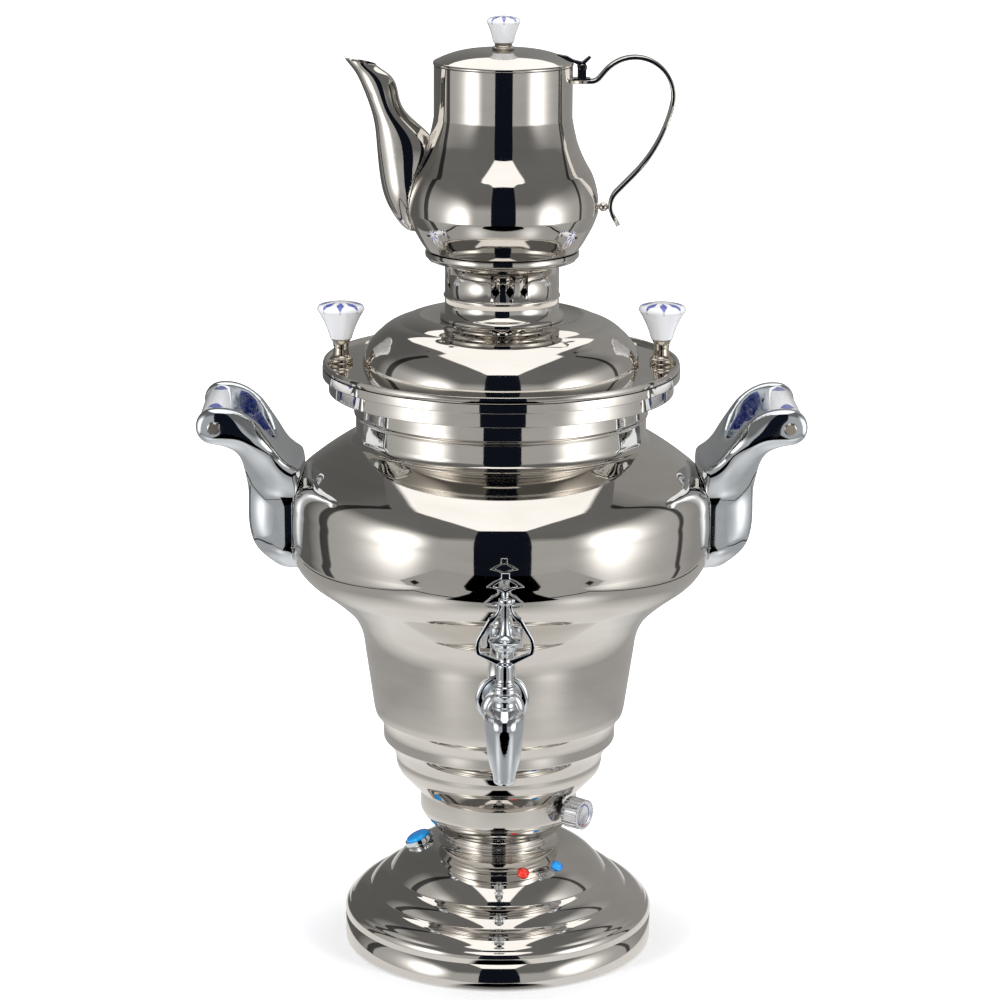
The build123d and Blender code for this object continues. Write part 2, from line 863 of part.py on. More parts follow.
with BuildPart() as dry_boil_cutout:
    with BuildSketch(Plane.XY.offset(tank_floor_level)):
        with Locations((cutout_offset, 0)):
            Circle(cutout_radius)
    extrude(amount=-cutout_height)
    with BuildSketch(Plane.XY.offset(tank_floor_level - cutout_height)):
        with Locations((cutout_offset, 0)):
            with GridLocations(cutout_radius, 0, 2, 1):
                Rectangle(0.8, 6)
    extrude(amount=-8)
dry_boil_cutout.part.label = "dry_boil_cutout"
export_step(dry_boil_cutout.part, "parts/dry_boil_cutout.step")

washer_top = dome_top - sheet_wall
nut_top = washer_top - tie_washer_thickness

with BuildPart() as tie_rod:
    with BuildSketch(Plane.XY.offset(tank_floor_level)):
        Circle(tie_rod_radius)
    extrude(amount=nut_top - tie_nut_height - tie_rod_tail - tank_floor_level)
    with BuildSketch(Plane.XY.offset(tank_floor_level)):
        Circle(2 * tie_rod_radius)
    extrude(amount=-2)
tie_rod.part.label = "tie_rod"
export_step(tie_rod.part, "parts/tie_rod.step")

with BuildPart() as tie_nut:
    with BuildSketch(Plane.XY.offset(washer_top)):
        Circle(tie_washer_radius)
        Circle(tie_rod_radius + running_fit, mode=Mode.SUBTRACT)
    extrude(amount=-tie_washer_thickness)
    with BuildSketch(Plane.XY.offset(nut_top)):
        RegularPolygon(tie_nut_flats / 2, 6, major_radius=False)
        Circle(tie_rod_radius + running_fit, mode=Mode.SUBTRACT)
    extrude(amount=-tie_nut_height)
tie_nut.part.label = "tie_nut"
export_step(tie_nut.part, "parts/tie_nut.step")

# ---------------------------------------------------------------- cord gland

gland_plane = facing(180, base_radius, gland_rise)

with BuildPart() as cord_gland:
    with BuildSketch(gland_plane.offset(press_gap)):
        Circle(gland_flange_radius)
    extrude(amount=gland_flange_depth)
    chamfer(cord_gland.faces().sort_by(Axis.Y)[-1].edges(), 0.8)
    with BuildSketch(gland_plane.offset(press_gap)):
        Circle(gland_barrel_radius)
    extrude(amount=-gland_length)
    with BuildSketch(gland_plane.offset(gland_flange_depth + 1)):
        Circle(gland_bore_radius)
    extrude(amount=-gland_length - gland_flange_depth - 2, mode=Mode.SUBTRACT)
cord_gland.part.label = "cord_gland"
export_step(cord_gland.part, "parts/cord_gland.step")

# ---------------------------------------------------------------- tap

tap_reach = belly_radius + tap_key_clearance + tap_key_half
tap_axis = Axis((0, -tap_reach, 0), (0, 0, 1))
tap_front = Plane.XZ.offset(tap_reach)
barrel_axis = Axis((0, 0, tap_level), (0, -1, 0))
barrel_section = Plane(origin=(0, 0, tap_level), x_dir=(0, -1, 0), z_dir=(1, 0, 0))
spout_bottom = tap_level - spout_drop
spout_top = tap_level + tap_head_rise
plug_bottom = tap_level - tap_barrel_radius + 2
cap_bottom = spout_top + tap_collar_height
cap_top = cap_bottom + tap_cap_height
rosette_front = tap_wall + rosette_depth
shank_start = tap_wall - tap_shank_length

with BuildPart() as tap_rosette:
    with BuildSketch(barrel_section):
        with BuildLine():
            Line((tap_wall - 5, 0), (tap_wall - 5, rosette_radius))
            Line((tap_wall - 5, rosette_radius), (rosette_front - 2.4, rosette_radius))
            Bezier(
                (rosette_front - 2.4, rosette_radius),
                (rosette_front, rosette_radius - 0.6),
                (rosette_front, rosette_radius - 4.5),
            )
            Line((rosette_front, rosette_radius - 4.5), (rosette_front, 0))
            Line((rosette_front, 0), (tap_wall - 5, 0))
        make_face()
    revolve(axis=barrel_axis)
    with BuildSketch(tap_plane):
        Circle(tap_shank_radius + running_fit)
    extrude(amount=taper_top_radius + 20, mode=Mode.SUBTRACT)
    add(vessel_form.part, mode=Mode.SUBTRACT)
tap_rosette.part.label = "tap_rosette"
export_step(tap_rosette.part, "parts/tap_rosette.step")

with BuildPart() as tap_body:
    # tapered spout with its band, and the fuller body behind it
    with BuildSketch(tap_front):
        with BuildLine():
            turned(
                (spout_tip_radius, spout_bottom),
                [
                    (spout_lip_radius, spout_lip_height, 0.3),
                    (tap_band_radius, spout_drop + tap_head_rise - spout_lip_height - tap_band_height, 0.4),
                    (tap_band_radius, tap_band_height, 0),
                ],
            )
        make_face()
    revolve(axis=tap_axis)
    with BuildSketch(Plane.XZ.offset(tap_reach - spout_back_offset)):
        with BuildLine():
            turned(
                (spout_low_radius, spout_bottom + spout_back_rise),
                [
                    (spout_mid_radius, spout_mid_rise, 0.7),
                    (spout_top_radius, spout_top_rise, 0.3),
                    (spout_top_radius - 3, spout_crest, 0.8),
                ],
            )
        make_face()
    revolve(axis=Axis((0, spout_back_offset - tap_reach, 0), (0, 0, 1)))
    with BuildSketch(Plane.XY.offset(spout_top)):
        with Locations((0, -tap_reach)):
            Circle(tap_collar_radius)
    extrude(amount=tap_collar_height)
    # barrel from the rosette, with its domed hood
    with BuildSketch(barrel_section):
        with BuildLine():
            hood_start = rosette_front + press_gap
            hood_widest = hood_start + tap_hood_length
            hood_end = hood_widest + tap_hood_round
            Line((hood_start, 0), (hood_start, tap_barrel_radius))
            bowed((hood_start, tap_barrel_radius), (hood_widest, tap_dome_radius), 0.8)
            bowed((hood_widest, tap_dome_radius), (hood_end, tap_barrel_radius), -2.0)
            Line((hood_end, tap_barrel_radius), (tap_reach, tap_barrel_radius))
            Line((tap_reach, tap_barrel_radius), (tap_reach, 0))
            Line((tap_reach, 0), (hood_start, 0))
        make_face()
    revolve(axis=barrel_axis)
    # threaded shank through the wall
    with BuildSketch(facing(0, shank_start, tap_level)):
        Circle(tap_shank_radius)
    extrude(amount=hood_start - shank_start)
    # water way: inlet, plug seat and spout bore
    with BuildSketch(facing(0, shank_start - 1, tap_level)):
        Circle(spout_bore_radius)
    extrude(amount=tap_reach - shank_start + 1, mode=Mode.SUBTRACT)
    with BuildSketch(Plane.XY.offset(spout_bottom - 1)):
        with Locations((0, -tap_reach)):
            Circle(spout_bore_radius)
    extrude(amount=spout_drop, mode=Mode.SUBTRACT)
    with BuildSketch(Plane.XY.offset(plug_bottom)):
        with Locations((0, -tap_reach)):
            Circle(plug_radius + running_fit)
    extrude(amount=cap_bottom - plug_bottom, mode=Mode.SUBTRACT)
tap_body.part.label = "tap_body"
export_step(tap_body.part, "parts/tap_body.step")

plug_top = cap_bottom - lift_gap
key_foot = cap_top + lift_gap
key_bead_top = key_foot + key_bead_height
stem_top = key_bead_top + key_stem_height

with BuildPart() as tap_plug:
    with BuildSketch(Plane.XY.offset(plug_bottom + lift_gap)):
        with Locations((0, -tap_reach)):
            Circle(plug_radius)
    extrude(amount=plug_top - plug_bottom - lift_gap)
    with BuildSketch(Plane.XY.offset(plug_top)):
        with Locations((0, -tap_reach)):
            Circle(plug_stem_radius)
    extrude(amount=key_bead_top - plug_top)
    with BuildSketch(Plane.XY.offset(plug_bottom)):
        with Locations((0, -tap_reach)):
            Circle(spout_bore_radius - 0.5)
    extrude(amount=tap_level - plug_bottom, mode=Mode.SUBTRACT)
    with BuildSketch(Plane.YZ):
        with Locations((-tap_reach, tap_level)):
            Circle(spout_bore_radius - 0.5)
    extrude(amount=plug_radius + 1, mode=Mode.SUBTRACT)
tap_plug.part.label = "tap_plug"
export_step(tap_plug.part, "parts/tap_plug.step")

with BuildPart() as tap_cap:
    with BuildSketch(tap_front):
        with BuildLine():
            turned(
                (tap_cap_radius, cap_bottom),
                [
                    (tap_cap_radius, tap_cap_height * 0.2, tap_cap_bead),
                    (tap_cap_radius, tap_cap_height * 0.6, 0),
                    (tap_cap_radius, tap_cap_height * 0.2, tap_cap_bead),
                ],
            )
        make_face()
        Rectangle(
            2 * (plug_stem_radius + running_fit), 4 * cap_top, mode=Mode.SUBTRACT
        )
    revolve(axis=tap_axis)
tap_cap.part.label = "tap_cap"
export_step(tap_cap.part, "parts/tap_cap.step")

washer_start = tap_wall - vessel_wall - press_gap
with BuildPart() as tap_washer:
    with BuildSketch(tap_plane.offset(washer_start - tap_washer_depth)):
        Circle(tap_washer_radius)
        Circle(tap_shank_radius + running_fit, mode=Mode.SUBTRACT)
    extrude(amount=tap_washer_depth + 3)
    with BuildSketch(Plane.XZ):
        with BuildLine():
            inner_low = taper_radius(taper_foot) - vessel_wall - press_gap
            inner_high = taper_radius(taper_top) - vessel_wall - press_gap
            Polyline(
                (0, taper_foot),
                (inner_low, taper_foot),
                (inner_high, taper_top),
                (0, taper_top),
                close=True,
            )
        make_face()
    revolve(axis=Axis.Z, mode=Mode.INTERSECT)
tap_washer.part.label = "tap_washer"
export_step(tap_washer.part, "parts/tap_washer.step")

nut_start = washer_start - tap_washer_depth
with BuildPart() as tap_nut:
    with BuildSketch(tap_plane.offset(nut_start)):
        RegularPolygon(tap_nut_flats / 2, 6, major_radius=False)
        Circle(tap_shank_radius + running_fit, mode=Mode.SUBTRACT)
    extrude(amount=-tap_nut_depth)
tap_nut.part.label = "tap_nut"
export_step(tap_nut.part, "parts/tap_nut.step")

# The key: a turned stem and bowl inside an open ornamental frame with a finial
frame_low = stem_top + key_low_rise
frame_wide = stem_top + key_wide_rise
frame_shoulder = stem_top + key_shoulder_rise
frame_neck = stem_top + key_neck_rise
collar_top = stem_top + key_collar_rise
finial_foot = collar_top + finial_gap
finial_tip = finial_foot + finial_tip_rise
finial_waist = finial_foot + finial_waist_rise
finial_top = finial_foot + finial_height
half = tap_key_half


def key_frame(inset):
    # Right half of the key's frame, mirrored by the caller; the inset makes the opening.
    side = half - inset
    Line((0, stem_top + inset * 1.2), (key_stem_radius - inset * 0.6, stem_top + inset * 1.2))
    Line((key_stem_radius - inset * 0.6, stem_top + inset * 1.2), (side - 1, frame_low + inset * 0.4))
    ThreePointArc((side - 1, frame_low + inset * 0.4), (side, frame_wide - 4), (side - 1.2, frame_wide))
    Line((side - 1.2, frame_wide), (key_shoulder_half - inset * 0.5, frame_shoulder - inset * 1.2))
    ThreePointArc(
        (key_shoulder_half - inset * 0.5, frame_shoulder - inset * 1.2),
        (key_neck_half + 2 - inset * 0.5, frame_shoulder + 2.6 - inset * 0.6),
        (key_neck_half - inset * 0.6, frame_neck - inset),
    )
    Line((key_neck_half - inset * 0.6, frame_neck - inset), (0, frame_neck - inset))
    Line((0, frame_neck - inset), (0, stem_top + inset * 1.2))


with BuildPart() as tap_key:
    with BuildSketch(tap_front):
        with BuildLine():
            key_frame(0)
        make_face()
        mirror(about=Plane.YZ)
    extrude(amount=key_plate / 2, both=True)
    with BuildSketch(tap_front):
        with BuildLine():
            key_frame(key_bar)
        make_face()
        mirror(about=Plane.YZ)
    extrude(amount=key_plate, both=True, mode=Mode.SUBTRACT)
    # finial: a pointed crest with a window
    with BuildSketch(tap_front):
        with BuildLine():
            SagittaArc((0, finial_foot), (finial_half, finial_tip), 1.2)
            Line((finial_half, finial_tip), (finial_waist_half, finial_waist))
            Line((finial_waist_half, finial_waist), (finial_point_half, finial_top - 4.0))
            Line((finial_point_half, finial_top - 4.0), (finial_point_half, finial_top))
            Line((finial_point_half, finial_top), (0, finial_top))
            Line((0, finial_top), (0, finial_foot))
        make_face()
        with BuildLine():
            SagittaArc((0, finial_foot + 2.6), (9.0, finial_tip + 0.6), 0.8)
            Line((9.0, finial_tip + 0.6), (2.2, finial_top - 5.2))
            Line((2.2, finial_top - 5.2), (0, finial_top - 5.2))
            Line((0, finial_top - 5.2), (0, finial_foot + 2.6))
        make_face(mode=Mode.SUBTRACT)
        mirror(about=Plane.YZ)
    extrude(amount=key_plate * 0.4, both=True)
    # stem with its beads, bowl, disc, spindle, collar and bead
    with BuildSketch(tap_front):
        with BuildLine():
            bead = key_bead_height / 3
            turned(
                (key_stem_radius + 1.6, key_foot),
                [
                    (key_stem_radius + 1.6, bead, 1.0),
                    (key_stem_radius + 0.6, bead, 0.9),
                    (key_stem_radius, bead, 0.7),
                    (key_stem_radius, key_stem_height, 0),
                    (3.4, 2.0, 0),
                    (4.6, key_low_rise, -0.6),
                    (8.8, 5.0, 1.2),
                    (key_bowl_radius, 2.2, 0),
                    (key_bowl_radius, 1.6, 0.6),
                    (4.2, 3.6, -0.8),
                    (2.6, 12.0, -0.6),
                    (key_spindle_radius, frame_neck - frame_shoulder, 0),
                    (key_collar_radius, 0, 0),
                    (key_collar_radius, collar_top - frame_neck, 0.4),
                    (1.6, 0.8, 0),
                    (1.6, finial_foot - collar_top, 0.9),
                ],
            )
        make_face()
        with Locations((0, key_foot)):
            Rectangle(
                2 * (plug_stem_radius + running_fit),
                2 * (key_bead_height + running_fit),
                mode=Mode.SUBTRACT,
            )
    revolve(axis=tap_axis)
    with Locations((-5.2, -tap_reach, collar_top - 1.6), (5.2, -tap_reach, collar_top - 1.6)):
        Sphere(1.7)
tap_key.part.label = "tap_key"
export_step(tap_key.part, "parts/tap_key.step")

# ---------------------------------------------------------------- handles

grip_x = belly_radius + handle_reach
grip_z = belly_foot + handle_rise
arm_outer = grip_length / 2 + arm_thickness
window_start = Vector(grip_x, 0, grip_z)
arm_slope = math.radians(42)
window_plane = Plane(
    origin=window_start,
    x_dir=(0, -1, 0),
    z_dir=(math.sin(arm_slope), 0, -math.cos(arm_slope)),
)


def spot(out, up):
    # Point of the handle's side outline, from the belly's widest circle and its lower edge.
    return (belly_radius + out, belly_foot + up)


boss_low = handle_rise - boss_radius
boss_top = handle_rise + boss_radius
foot_reach = handle_foot_reach
with BuildPart() as handle_right:
    with BuildSketch(Plane.XZ):
        with BuildLine():
            ThreePointArc(
                spot(handle_reach, boss_top), spot(31, boss_top - 4.4), spot(17.3, boss_top - 17.4)
            )
            Line(spot(17.3, boss_top - 17.4), spot(3.5, boss_top - 37.5))
            ThreePointArc(
                spot(3.5, boss_top - 37.5),
                spot(-3.2, boss_top - 43.6),
                spot(-handle_seat_depth, boss_top - 47.6),
            )
            Line(
                spot(-handle_seat_depth, boss_top - 47.6),
                spot(-handle_seat_depth, -handle_foot_drop),
            )
            Line(spot(-handle_seat_depth, -handle_foot_drop), spot(0, -handle_foot_drop))
            ThreePointArc(
                spot(0, -handle_foot_drop),
                spot(foot_reach * 0.72, -handle_foot_drop * 0.62),
                spot(foot_reach, 4),
            )
            Line(spot(foot_reach, 4), spot(foot_reach - 0.6, boss_low - 38))
            Line(spot(foot_reach - 0.6, boss_low - 38), spot(foot_reach + 3.6, boss_low - 19.2))
            ThreePointArc(
                spot(foot_reach + 3.6, boss_low - 19.2),
                spot(foot_reach + 9.0, boss_low - 7.2),
                spot(handle_reach, boss_low),
            )
            ThreePointArc(
                spot(handle_reach, boss_low),
                spot(handle_reach + boss_radius, handle_rise),
                spot(handle_reach, boss_top),
            )
        make_face()
    extrude(amount=arm_outer, both=True)
    with BuildSketch(Plane.YZ):
        with Locations((0, belly_foot - handle_foot_drop + 100)):
            RectangleRounded(2 * arm_outer, 200, handle_foot_round)
    extrude(amount=2 * grip_x, mode=Mode.INTERSECT)
    with BuildSketch(window_plane):
        with BuildLine():
            Line((grip_length / 2, -60), (grip_length / 2, window_drop / 3))
            ThreePointArc(
                (grip_length / 2, window_drop / 3),
                (0, window_drop),
                (-grip_length / 2, window_drop / 3),
            )
            Line((-grip_length / 2, window_drop / 3), (-grip_length / 2, -60))
            Line((-grip_length / 2, -60), (grip_length / 2, -60))
        make_face()
    extrude(amount=100, both=True, mode=Mode.SUBTRACT)
    add(vessel_form.part, mode=Mode.SUBTRACT)
    with BuildSketch(Plane.XZ):
        with Locations((grip_x, grip_z)):
            Circle(grip_bolt_radius + running_fit)
    extrude(amount=arm_outer + 1, both=True, mode=Mode.SUBTRACT)
    for swing in (-handle_screw_angle, handle_screw_angle):
        with BuildSketch(facing(90 + swing, belly_radius - 5, handle_level)):
            Circle(handle_screw_radius + running_fit)
        extrude(amount=5 + handle_screw_length, mode=Mode.SUBTRACT)
handle_right.part.label = "handle_right"
export_step(handle_right.part, "parts/handle_right.step")

with BuildPart() as handle_left:
    mirror(handle_right.part, about=Plane.YZ)
handle_left.part.label = "handle_left"
export_step(handle_left.part, "parts/handle_left.step")

for side_name, side in (("right", 1), ("left", -1)):
    with BuildPart() as grip:
        with BuildSketch(Plane.XZ):
            with Locations((side * grip_x, grip_z)):
                Circle(grip_radius)
                Circle(grip_bolt_radius + running_fit, mode=Mode.SUBTRACT)
        extrude(amount=grip_length / 2 - press_gap, both=True)
        fillet(grip.edges().filter_by(GeomType.CIRCLE).group_by(SortBy.RADIUS)[-1], 1.2)
    grip.part.label = "grip_" + side_name
    export_step(grip.part, "parts/grip_" + side_name + ".step")

    with BuildPart() as grip_bolt:
        with BuildSketch(Plane.XZ):
            with Locations((side * grip_x, grip_z)):
                Circle(grip_bolt_radius)
        extrude(amount=arm_outer + press_gap, both=True)
        for end in (-1, 1):
            with BuildSketch(Plane.XZ.offset(end * (arm_outer + press_gap))):
                with Locations((side * grip_x, grip_z)):
                    Circle(grip_bolt_head_radius)
            extrude(amount=end * grip_bolt_head, taper=18)
    grip_bolt.part.label = "grip_bolt_" + side_name
    export_step(grip_bolt.part, "parts/grip_bolt_" + side_name + ".step")

with BuildPart() as handle_screws:
    head_seat = belly_radius + belly_swell - vessel_wall - 2 * press_gap
    for side in (90, 270):
        for swing in (-handle_screw_angle, handle_screw_angle):
            with BuildSketch(facing(side + swing, head_seat, handle_level)):
                RegularPolygon(handle_screw_head_radius, 6)
            extrude(amount=-handle_screw_head)
            with BuildSketch(facing(side + swing, head_seat, handle_level)):
                Circle(handle_screw_radius)
            extrude(amount=handle_screw_length)
handle_screws.part.label = "handle_screws"
export_step(handle_screws.part, "parts/handle_screws.step")

# ---------------------------------------------------------------- main lid

lid_bottom = rim_top + lift_gap
valley = lid_bottom + lid_valley_drop
dome_low = valley + lid_dome_low_rise
dome_mid = dome_low + lid_dome_mid_rise
dome_plateau = dome_mid + lid_dome_top_rise
crown_level = dome_plateau - lid_top_dip

with BuildPart() as main_lid:
    with BuildSketch(Plane.XZ):
        with BuildLine():
            sheet(
                (lid_dome_foot_radius, lid_bottom),
                [
                    (lid_dome_foot_radius, lid_valley_drop, 0),
                    (lid_dome_low_radius, lid_dome_low_rise, 2.6),
                    (lid_dome_mid_radius, lid_dome_mid_rise, 1.2),
                    (lid_dome_top_radius, lid_dome_top_rise, 0.5),
                    (crown_foot_radius + 1, -lid_top_dip, -0.8),
                    (lid_bore_radius, 0, 0),
                ],
                sheet_wall,
            )
        make_face()
        # flange, its rolled rim and the skirt inside the vessel's mouth
        flange_width = lid_rim_radius - lid_dome_foot_radius
        with Locations((lid_dome_foot_radius + flange_width / 2, lid_bottom + lid_valley_drop / 2)):
            Rectangle(flange_width, lid_valley_drop)
        with BuildLine():
            rim_inner = lid_rim_radius - lid_rim_width
            Line((rim_inner - 1.6, lid_bottom), (lid_rim_radius, lid_bottom))
            bowed((lid_rim_radius, lid_bottom), (lid_rim_radius, lid_bottom + lid_rim_height), 0.6)
            Line((lid_rim_radius, lid_bottom + lid_rim_height), (rim_inner, lid_bottom + lid_rim_height))
            Line((rim_inner, lid_bottom + lid_rim_height), (rim_inner - 1.6, lid_bottom))
        make_face()
        skirt_outer = rim_band_radius - vessel_wall - lid_skirt_gap
        with Locations((skirt_outer - sheet_wall / 2, lid_bottom - lid_skirt_depth / 2 + 0.5)):
            Rectangle(sheet_wall, lid_skirt_depth + 1)
    revolve(axis=Axis.Z)
    with BuildSketch(Plane.XY.offset(lid_bottom - 1)):
        with Locations((lid_knob_offset, 0), (-lid_knob_offset, 0)):
            Circle(lid_screw_radius + running_fit)
    extrude(amount=lid_rim_height + 2, mode=Mode.SUBTRACT)
main_lid.part.label = "main_lid"
export_step(main_lid.part, "parts/main_lid.step")

for side_name, side in (("right", 1), ("left", -1)):
    knob_axis = Axis((side * lid_knob_offset, 0, 0), (0, 0, 1))
    knob_section = Plane(origin=(side * lid_knob_offset, 0, 0), x_dir=(1, 0, 0), z_dir=(0, -1, 0))
    with BuildPart() as lid_ferrule:
        with BuildSketch(knob_section):
            with BuildLine():
                turned(
                    (ferrule_foot_radius, valley + press_gap),
                    [
                        (ferrule_foot_radius, ferrule_height * 0.2, 0.5),
                        (ferrule_waist_radius, ferrule_height * 0.25, -0.8),
                        (ferrule_waist_radius, ferrule_height * 0.25, -0.3),
                        (ferrule_top_radius, ferrule_height * 0.3, -0.6),
                    ],
                )
            make_face()
            Rectangle(2 * (lid_screw_radius + running_fit), 4 * rim_top, mode=Mode.SUBTRACT)
        revolve(axis=knob_axis)
    lid_ferrule.part.label = "lid_ferrule_" + side_name
    export_step(lid_ferrule.part, "parts/lid_ferrule_" + side_name + ".step")

    lid_knob_foot = valley + ferrule_height + 2 * press_gap
    with BuildPart() as lid_knob:
        with BuildSketch(knob_section):
            with BuildLine():
                turned(
                    (lid_knob_foot_radius, lid_knob_foot),
                    [
                        (lid_knob_top_radius, lid_knob_height * 0.8, -1.0),
                        (lid_knob_top_radius - 4, lid_knob_height * 0.14, 1.2),
                        (3.0, lid_knob_height * 0.06, 0.4),
                    ],
                )
            make_face()
            with Locations((0, lid_knob_foot)):
                Rectangle(
                    2 * (lid_screw_radius + running_fit),
                    2 * (lid_screw_reach + 0.5),
                    mode=Mode.SUBTRACT,
                )
        revolve(axis=knob_axis)
    lid_knob.part.label = "lid_knob_" + side_name
    export_step(lid_knob.part, "parts/lid_knob_" + side_name + ".step")

screw_seat = lid_bottom - press_gap
with BuildPart() as lid_screws:
    with BuildSketch(Plane.XY.offset(screw_seat)):
        with Locations((lid_knob_offset, 0), (-lid_knob_offset, 0)):
            Circle(lid_screw_head_radius)
    extrude(amount=-lid_screw_head, taper=15)
    with BuildSketch(Plane.XY.offset(screw_seat)):
        with Locations((lid_knob_offset, 0), (-lid_knob_offset, 0)):
            Circle(lid_screw_radius)
    extrude(amount=lid_knob_foot + lid_screw_reach - screw_seat)
lid_screws.part.label = "lid_screws"
export_step(lid_screws.part, "parts/lid_screws.step")

# ---------------------------------------------------------------- crown

crown_bottom = crown_level + lift_gap
crown_top = crown_bottom + crown_height

with BuildPart() as crown_stand:
    with BuildSketch(Plane.XZ):
        with BuildLine():
            sheet(
                (crown_radius, crown_bottom),
                [
                    (crown_radius, crown_bead_rise - 1.5, 0),
                    (crown_radius, 3.0, crown_bead),
                    (crown_radius, crown_height - crown_bead_rise - 1.5, 0),
                    (crown_radius + 2, cup_inner_rise, 0),
                    (cup_radius - 2, cup_rise * 0.55, 0),
                    (cup_radius, cup_rise * 0.45, -0.3),
                    (cup_radius, cup_rim_height, 0.3),
                ],
                crown_wall,
            )
        make_face()
        foot_width = crown_foot_radius - crown_radius
        with Locations((crown_radius + foot_width / 2, crown_bottom + crown_foot_height / 2)):
            Rectangle(foot_width, crown_foot_height)
    revolve(axis=Axis.Z)
    for group in range(diamond_groups):
        for place in range(diamonds_per_group):
            turn = crown_turn + group * 360 / diamond_groups
            turn = turn + (place - (diamonds_per_group - 1) / 2) * diamond_step
            with BuildSketch(facing(turn, 0, crown_bottom + diamond_rise)):
                Polygon(
                    (diamond_width / 2, 0),
                    (0, diamond_height / 2),
                    (-diamond_width / 2, 0),
                    (0, -diamond_height / 2),
                )
            extrude(amount=crown_radius + 2, mode=Mode.SUBTRACT)
crown_stand.part.label = "crown_stand"
export_step(crown_stand.part, "parts/crown_stand.step")

# ---------------------------------------------------------------- teapot

cup_slope = cup_rise * 0.55 / (cup_radius - crown_radius - 4)
cup_seat = crown_top + cup_inner_rise + (pot_foot_radius - crown_radius - 2) * cup_slope
pot_bottom = cup_seat + crown_wall * math.hypot(1, cup_slope) + lift_gap
pot_stages = [
    (pot_foot_radius + 2.5, pot_foot_height, 0),
    (pot_foot_radius + 4.7, 0.5, 0),
    (pot_low_radius, pot_low_rise, 0.3),
    (pot_belly_radius, pot_belly_rise, 0.6),
    (pot_belly_radius, pot_belly_band, 0),
    (pot_upper_radius, pot_upper_rise, 1.2),
    (pot_waist_radius, pot_waist_rise, -0.8),
    (pot_mouth_radius, pot_waist_top_rise, -0.2),
    (pot_mouth_radius, pot_neck_height, 0),
]
pot_belly_level = pot_bottom + pot_foot_height + 0.5 + pot_low_rise + pot_belly_rise
pot_waist_level = pot_belly_level + pot_belly_band + pot_upper_rise + pot_waist_rise
pot_top = pot_waist_level + pot_waist_top_rise + pot_neck_height
strainer_level = pot_belly_level + pot_belly_band + pot_upper_rise
strainer_tilt = math.radians(strainer_lean)
strainer_plane = Plane(
    origin=(-pot_upper_radius, 0, strainer_level),
    x_dir=(0, -1, 0),
    z_dir=(-math.cos(strainer_tilt), 0, math.sin(strainer_tilt)),
)

with BuildPart() as pot_form:
    with BuildSketch(Plane.XZ):
        with BuildLine():
            turned((pot_foot_radius, pot_bottom), pot_stages)
        make_face()
    revolve(axis=Axis.Z)

with BuildPart() as pot_sheet:
    with BuildSketch(Plane.XZ):
        with BuildLine():
            sheet((0, pot_bottom), [(pot_foot_radius, 0, 0)] + pot_stages, teapot_wall)
        make_face()
    revolve(axis=Axis.Z)

# The base dish is crimped into the body just under the step above the foot
crimp_plane = Plane.XY.offset(pot_bottom + pot_foot_height)
with BuildPart() as teapot_base:
    add(pot_sheet.part)
    split(bisect_by=crimp_plane, keep=Keep.BOTTOM)
teapot_base.part.label = "teapot_base"
export_step(teapot_base.part, "parts/teapot_base.step")

with BuildPart() as teapot_body:
    add(pot_sheet.part)
    split(bisect_by=crimp_plane, keep=Keep.TOP)
    with BuildSketch(strainer_plane):
        Circle(strainer_radius)
    extrude(amount=12, both=True, mode=Mode.SUBTRACT)
teapot_body.part.label = "teapot_body"
export_step(teapot_body.part, "parts/teapot_body.step")

with BuildPart() as spout_strainer:
    add(pot_sheet.part)
    with BuildSketch(strainer_plane):
        Circle(strainer_radius - press_gap)
    extrude(amount=12, both=True, mode=Mode.INTERSECT)
    with BuildSketch(strainer_plane):
        for ring, holes in ((0.35, 6), (0.72, 12)):
            with PolarLocations(strainer_radius * ring, holes):
                Circle(strainer_hole_radius)
        Circle(strainer_hole_radius)
    extrude(amount=12, both=True, mode=Mode.SUBTRACT)
spout_strainer.part.label = "spout_strainer"
export_step(spout_strainer.part, "parts/spout_strainer.step")

with BuildPart() as spout_way:
    for drop, reach, length, width in spout_sections[:-1]:
        with BuildSketch(Plane.XY.offset(pot_top - drop)):
            with Locations((-reach, 0)):
                Ellipse(length - spout_wall, width - spout_wall)
    loft()

lip_slope = spout_lip_rise / (spout_lip_reach - spout_heel_reach)
lip_margin = 10

with BuildPart() as teapot_spout:
    for drop, reach, length, width in spout_sections:
        with BuildSketch(Plane.XY.offset(pot_top - drop)):
            with Locations((-reach, 0)):
                Ellipse(length, width)
    loft()
    add(spout_way.part, mode=Mode.SUBTRACT)
    add(pot_form.part, mode=Mode.SUBTRACT)
    with BuildSketch(Plane.XZ):
        with BuildLine():
            Polyline(
                (-spout_lip_reach - lip_margin, pot_top + spout_lip_rise + lip_slope * lip_margin),
                (-spout_heel_reach + lip_margin, pot_top - lip_slope * lip_margin),
                (-spout_heel_reach + lip_margin, pot_top + 2 * lip_margin),
                (-spout_lip_reach - lip_margin, pot_top + 2 * lip_margin),
                close=True,
            )
        make_face()
    extrude(amount=3 * lip_margin, both=True, mode=Mode.SUBTRACT)
teapot_spout.part.label = "teapot_spout"
export_step(teapot_spout.part, "parts/teapot_spout.step")

root_start = pot_mouth_radius + press_gap
root_level = pot_top - strip_root_drop
root_end = (pot_mouth_radius + strip_root_length, root_level)

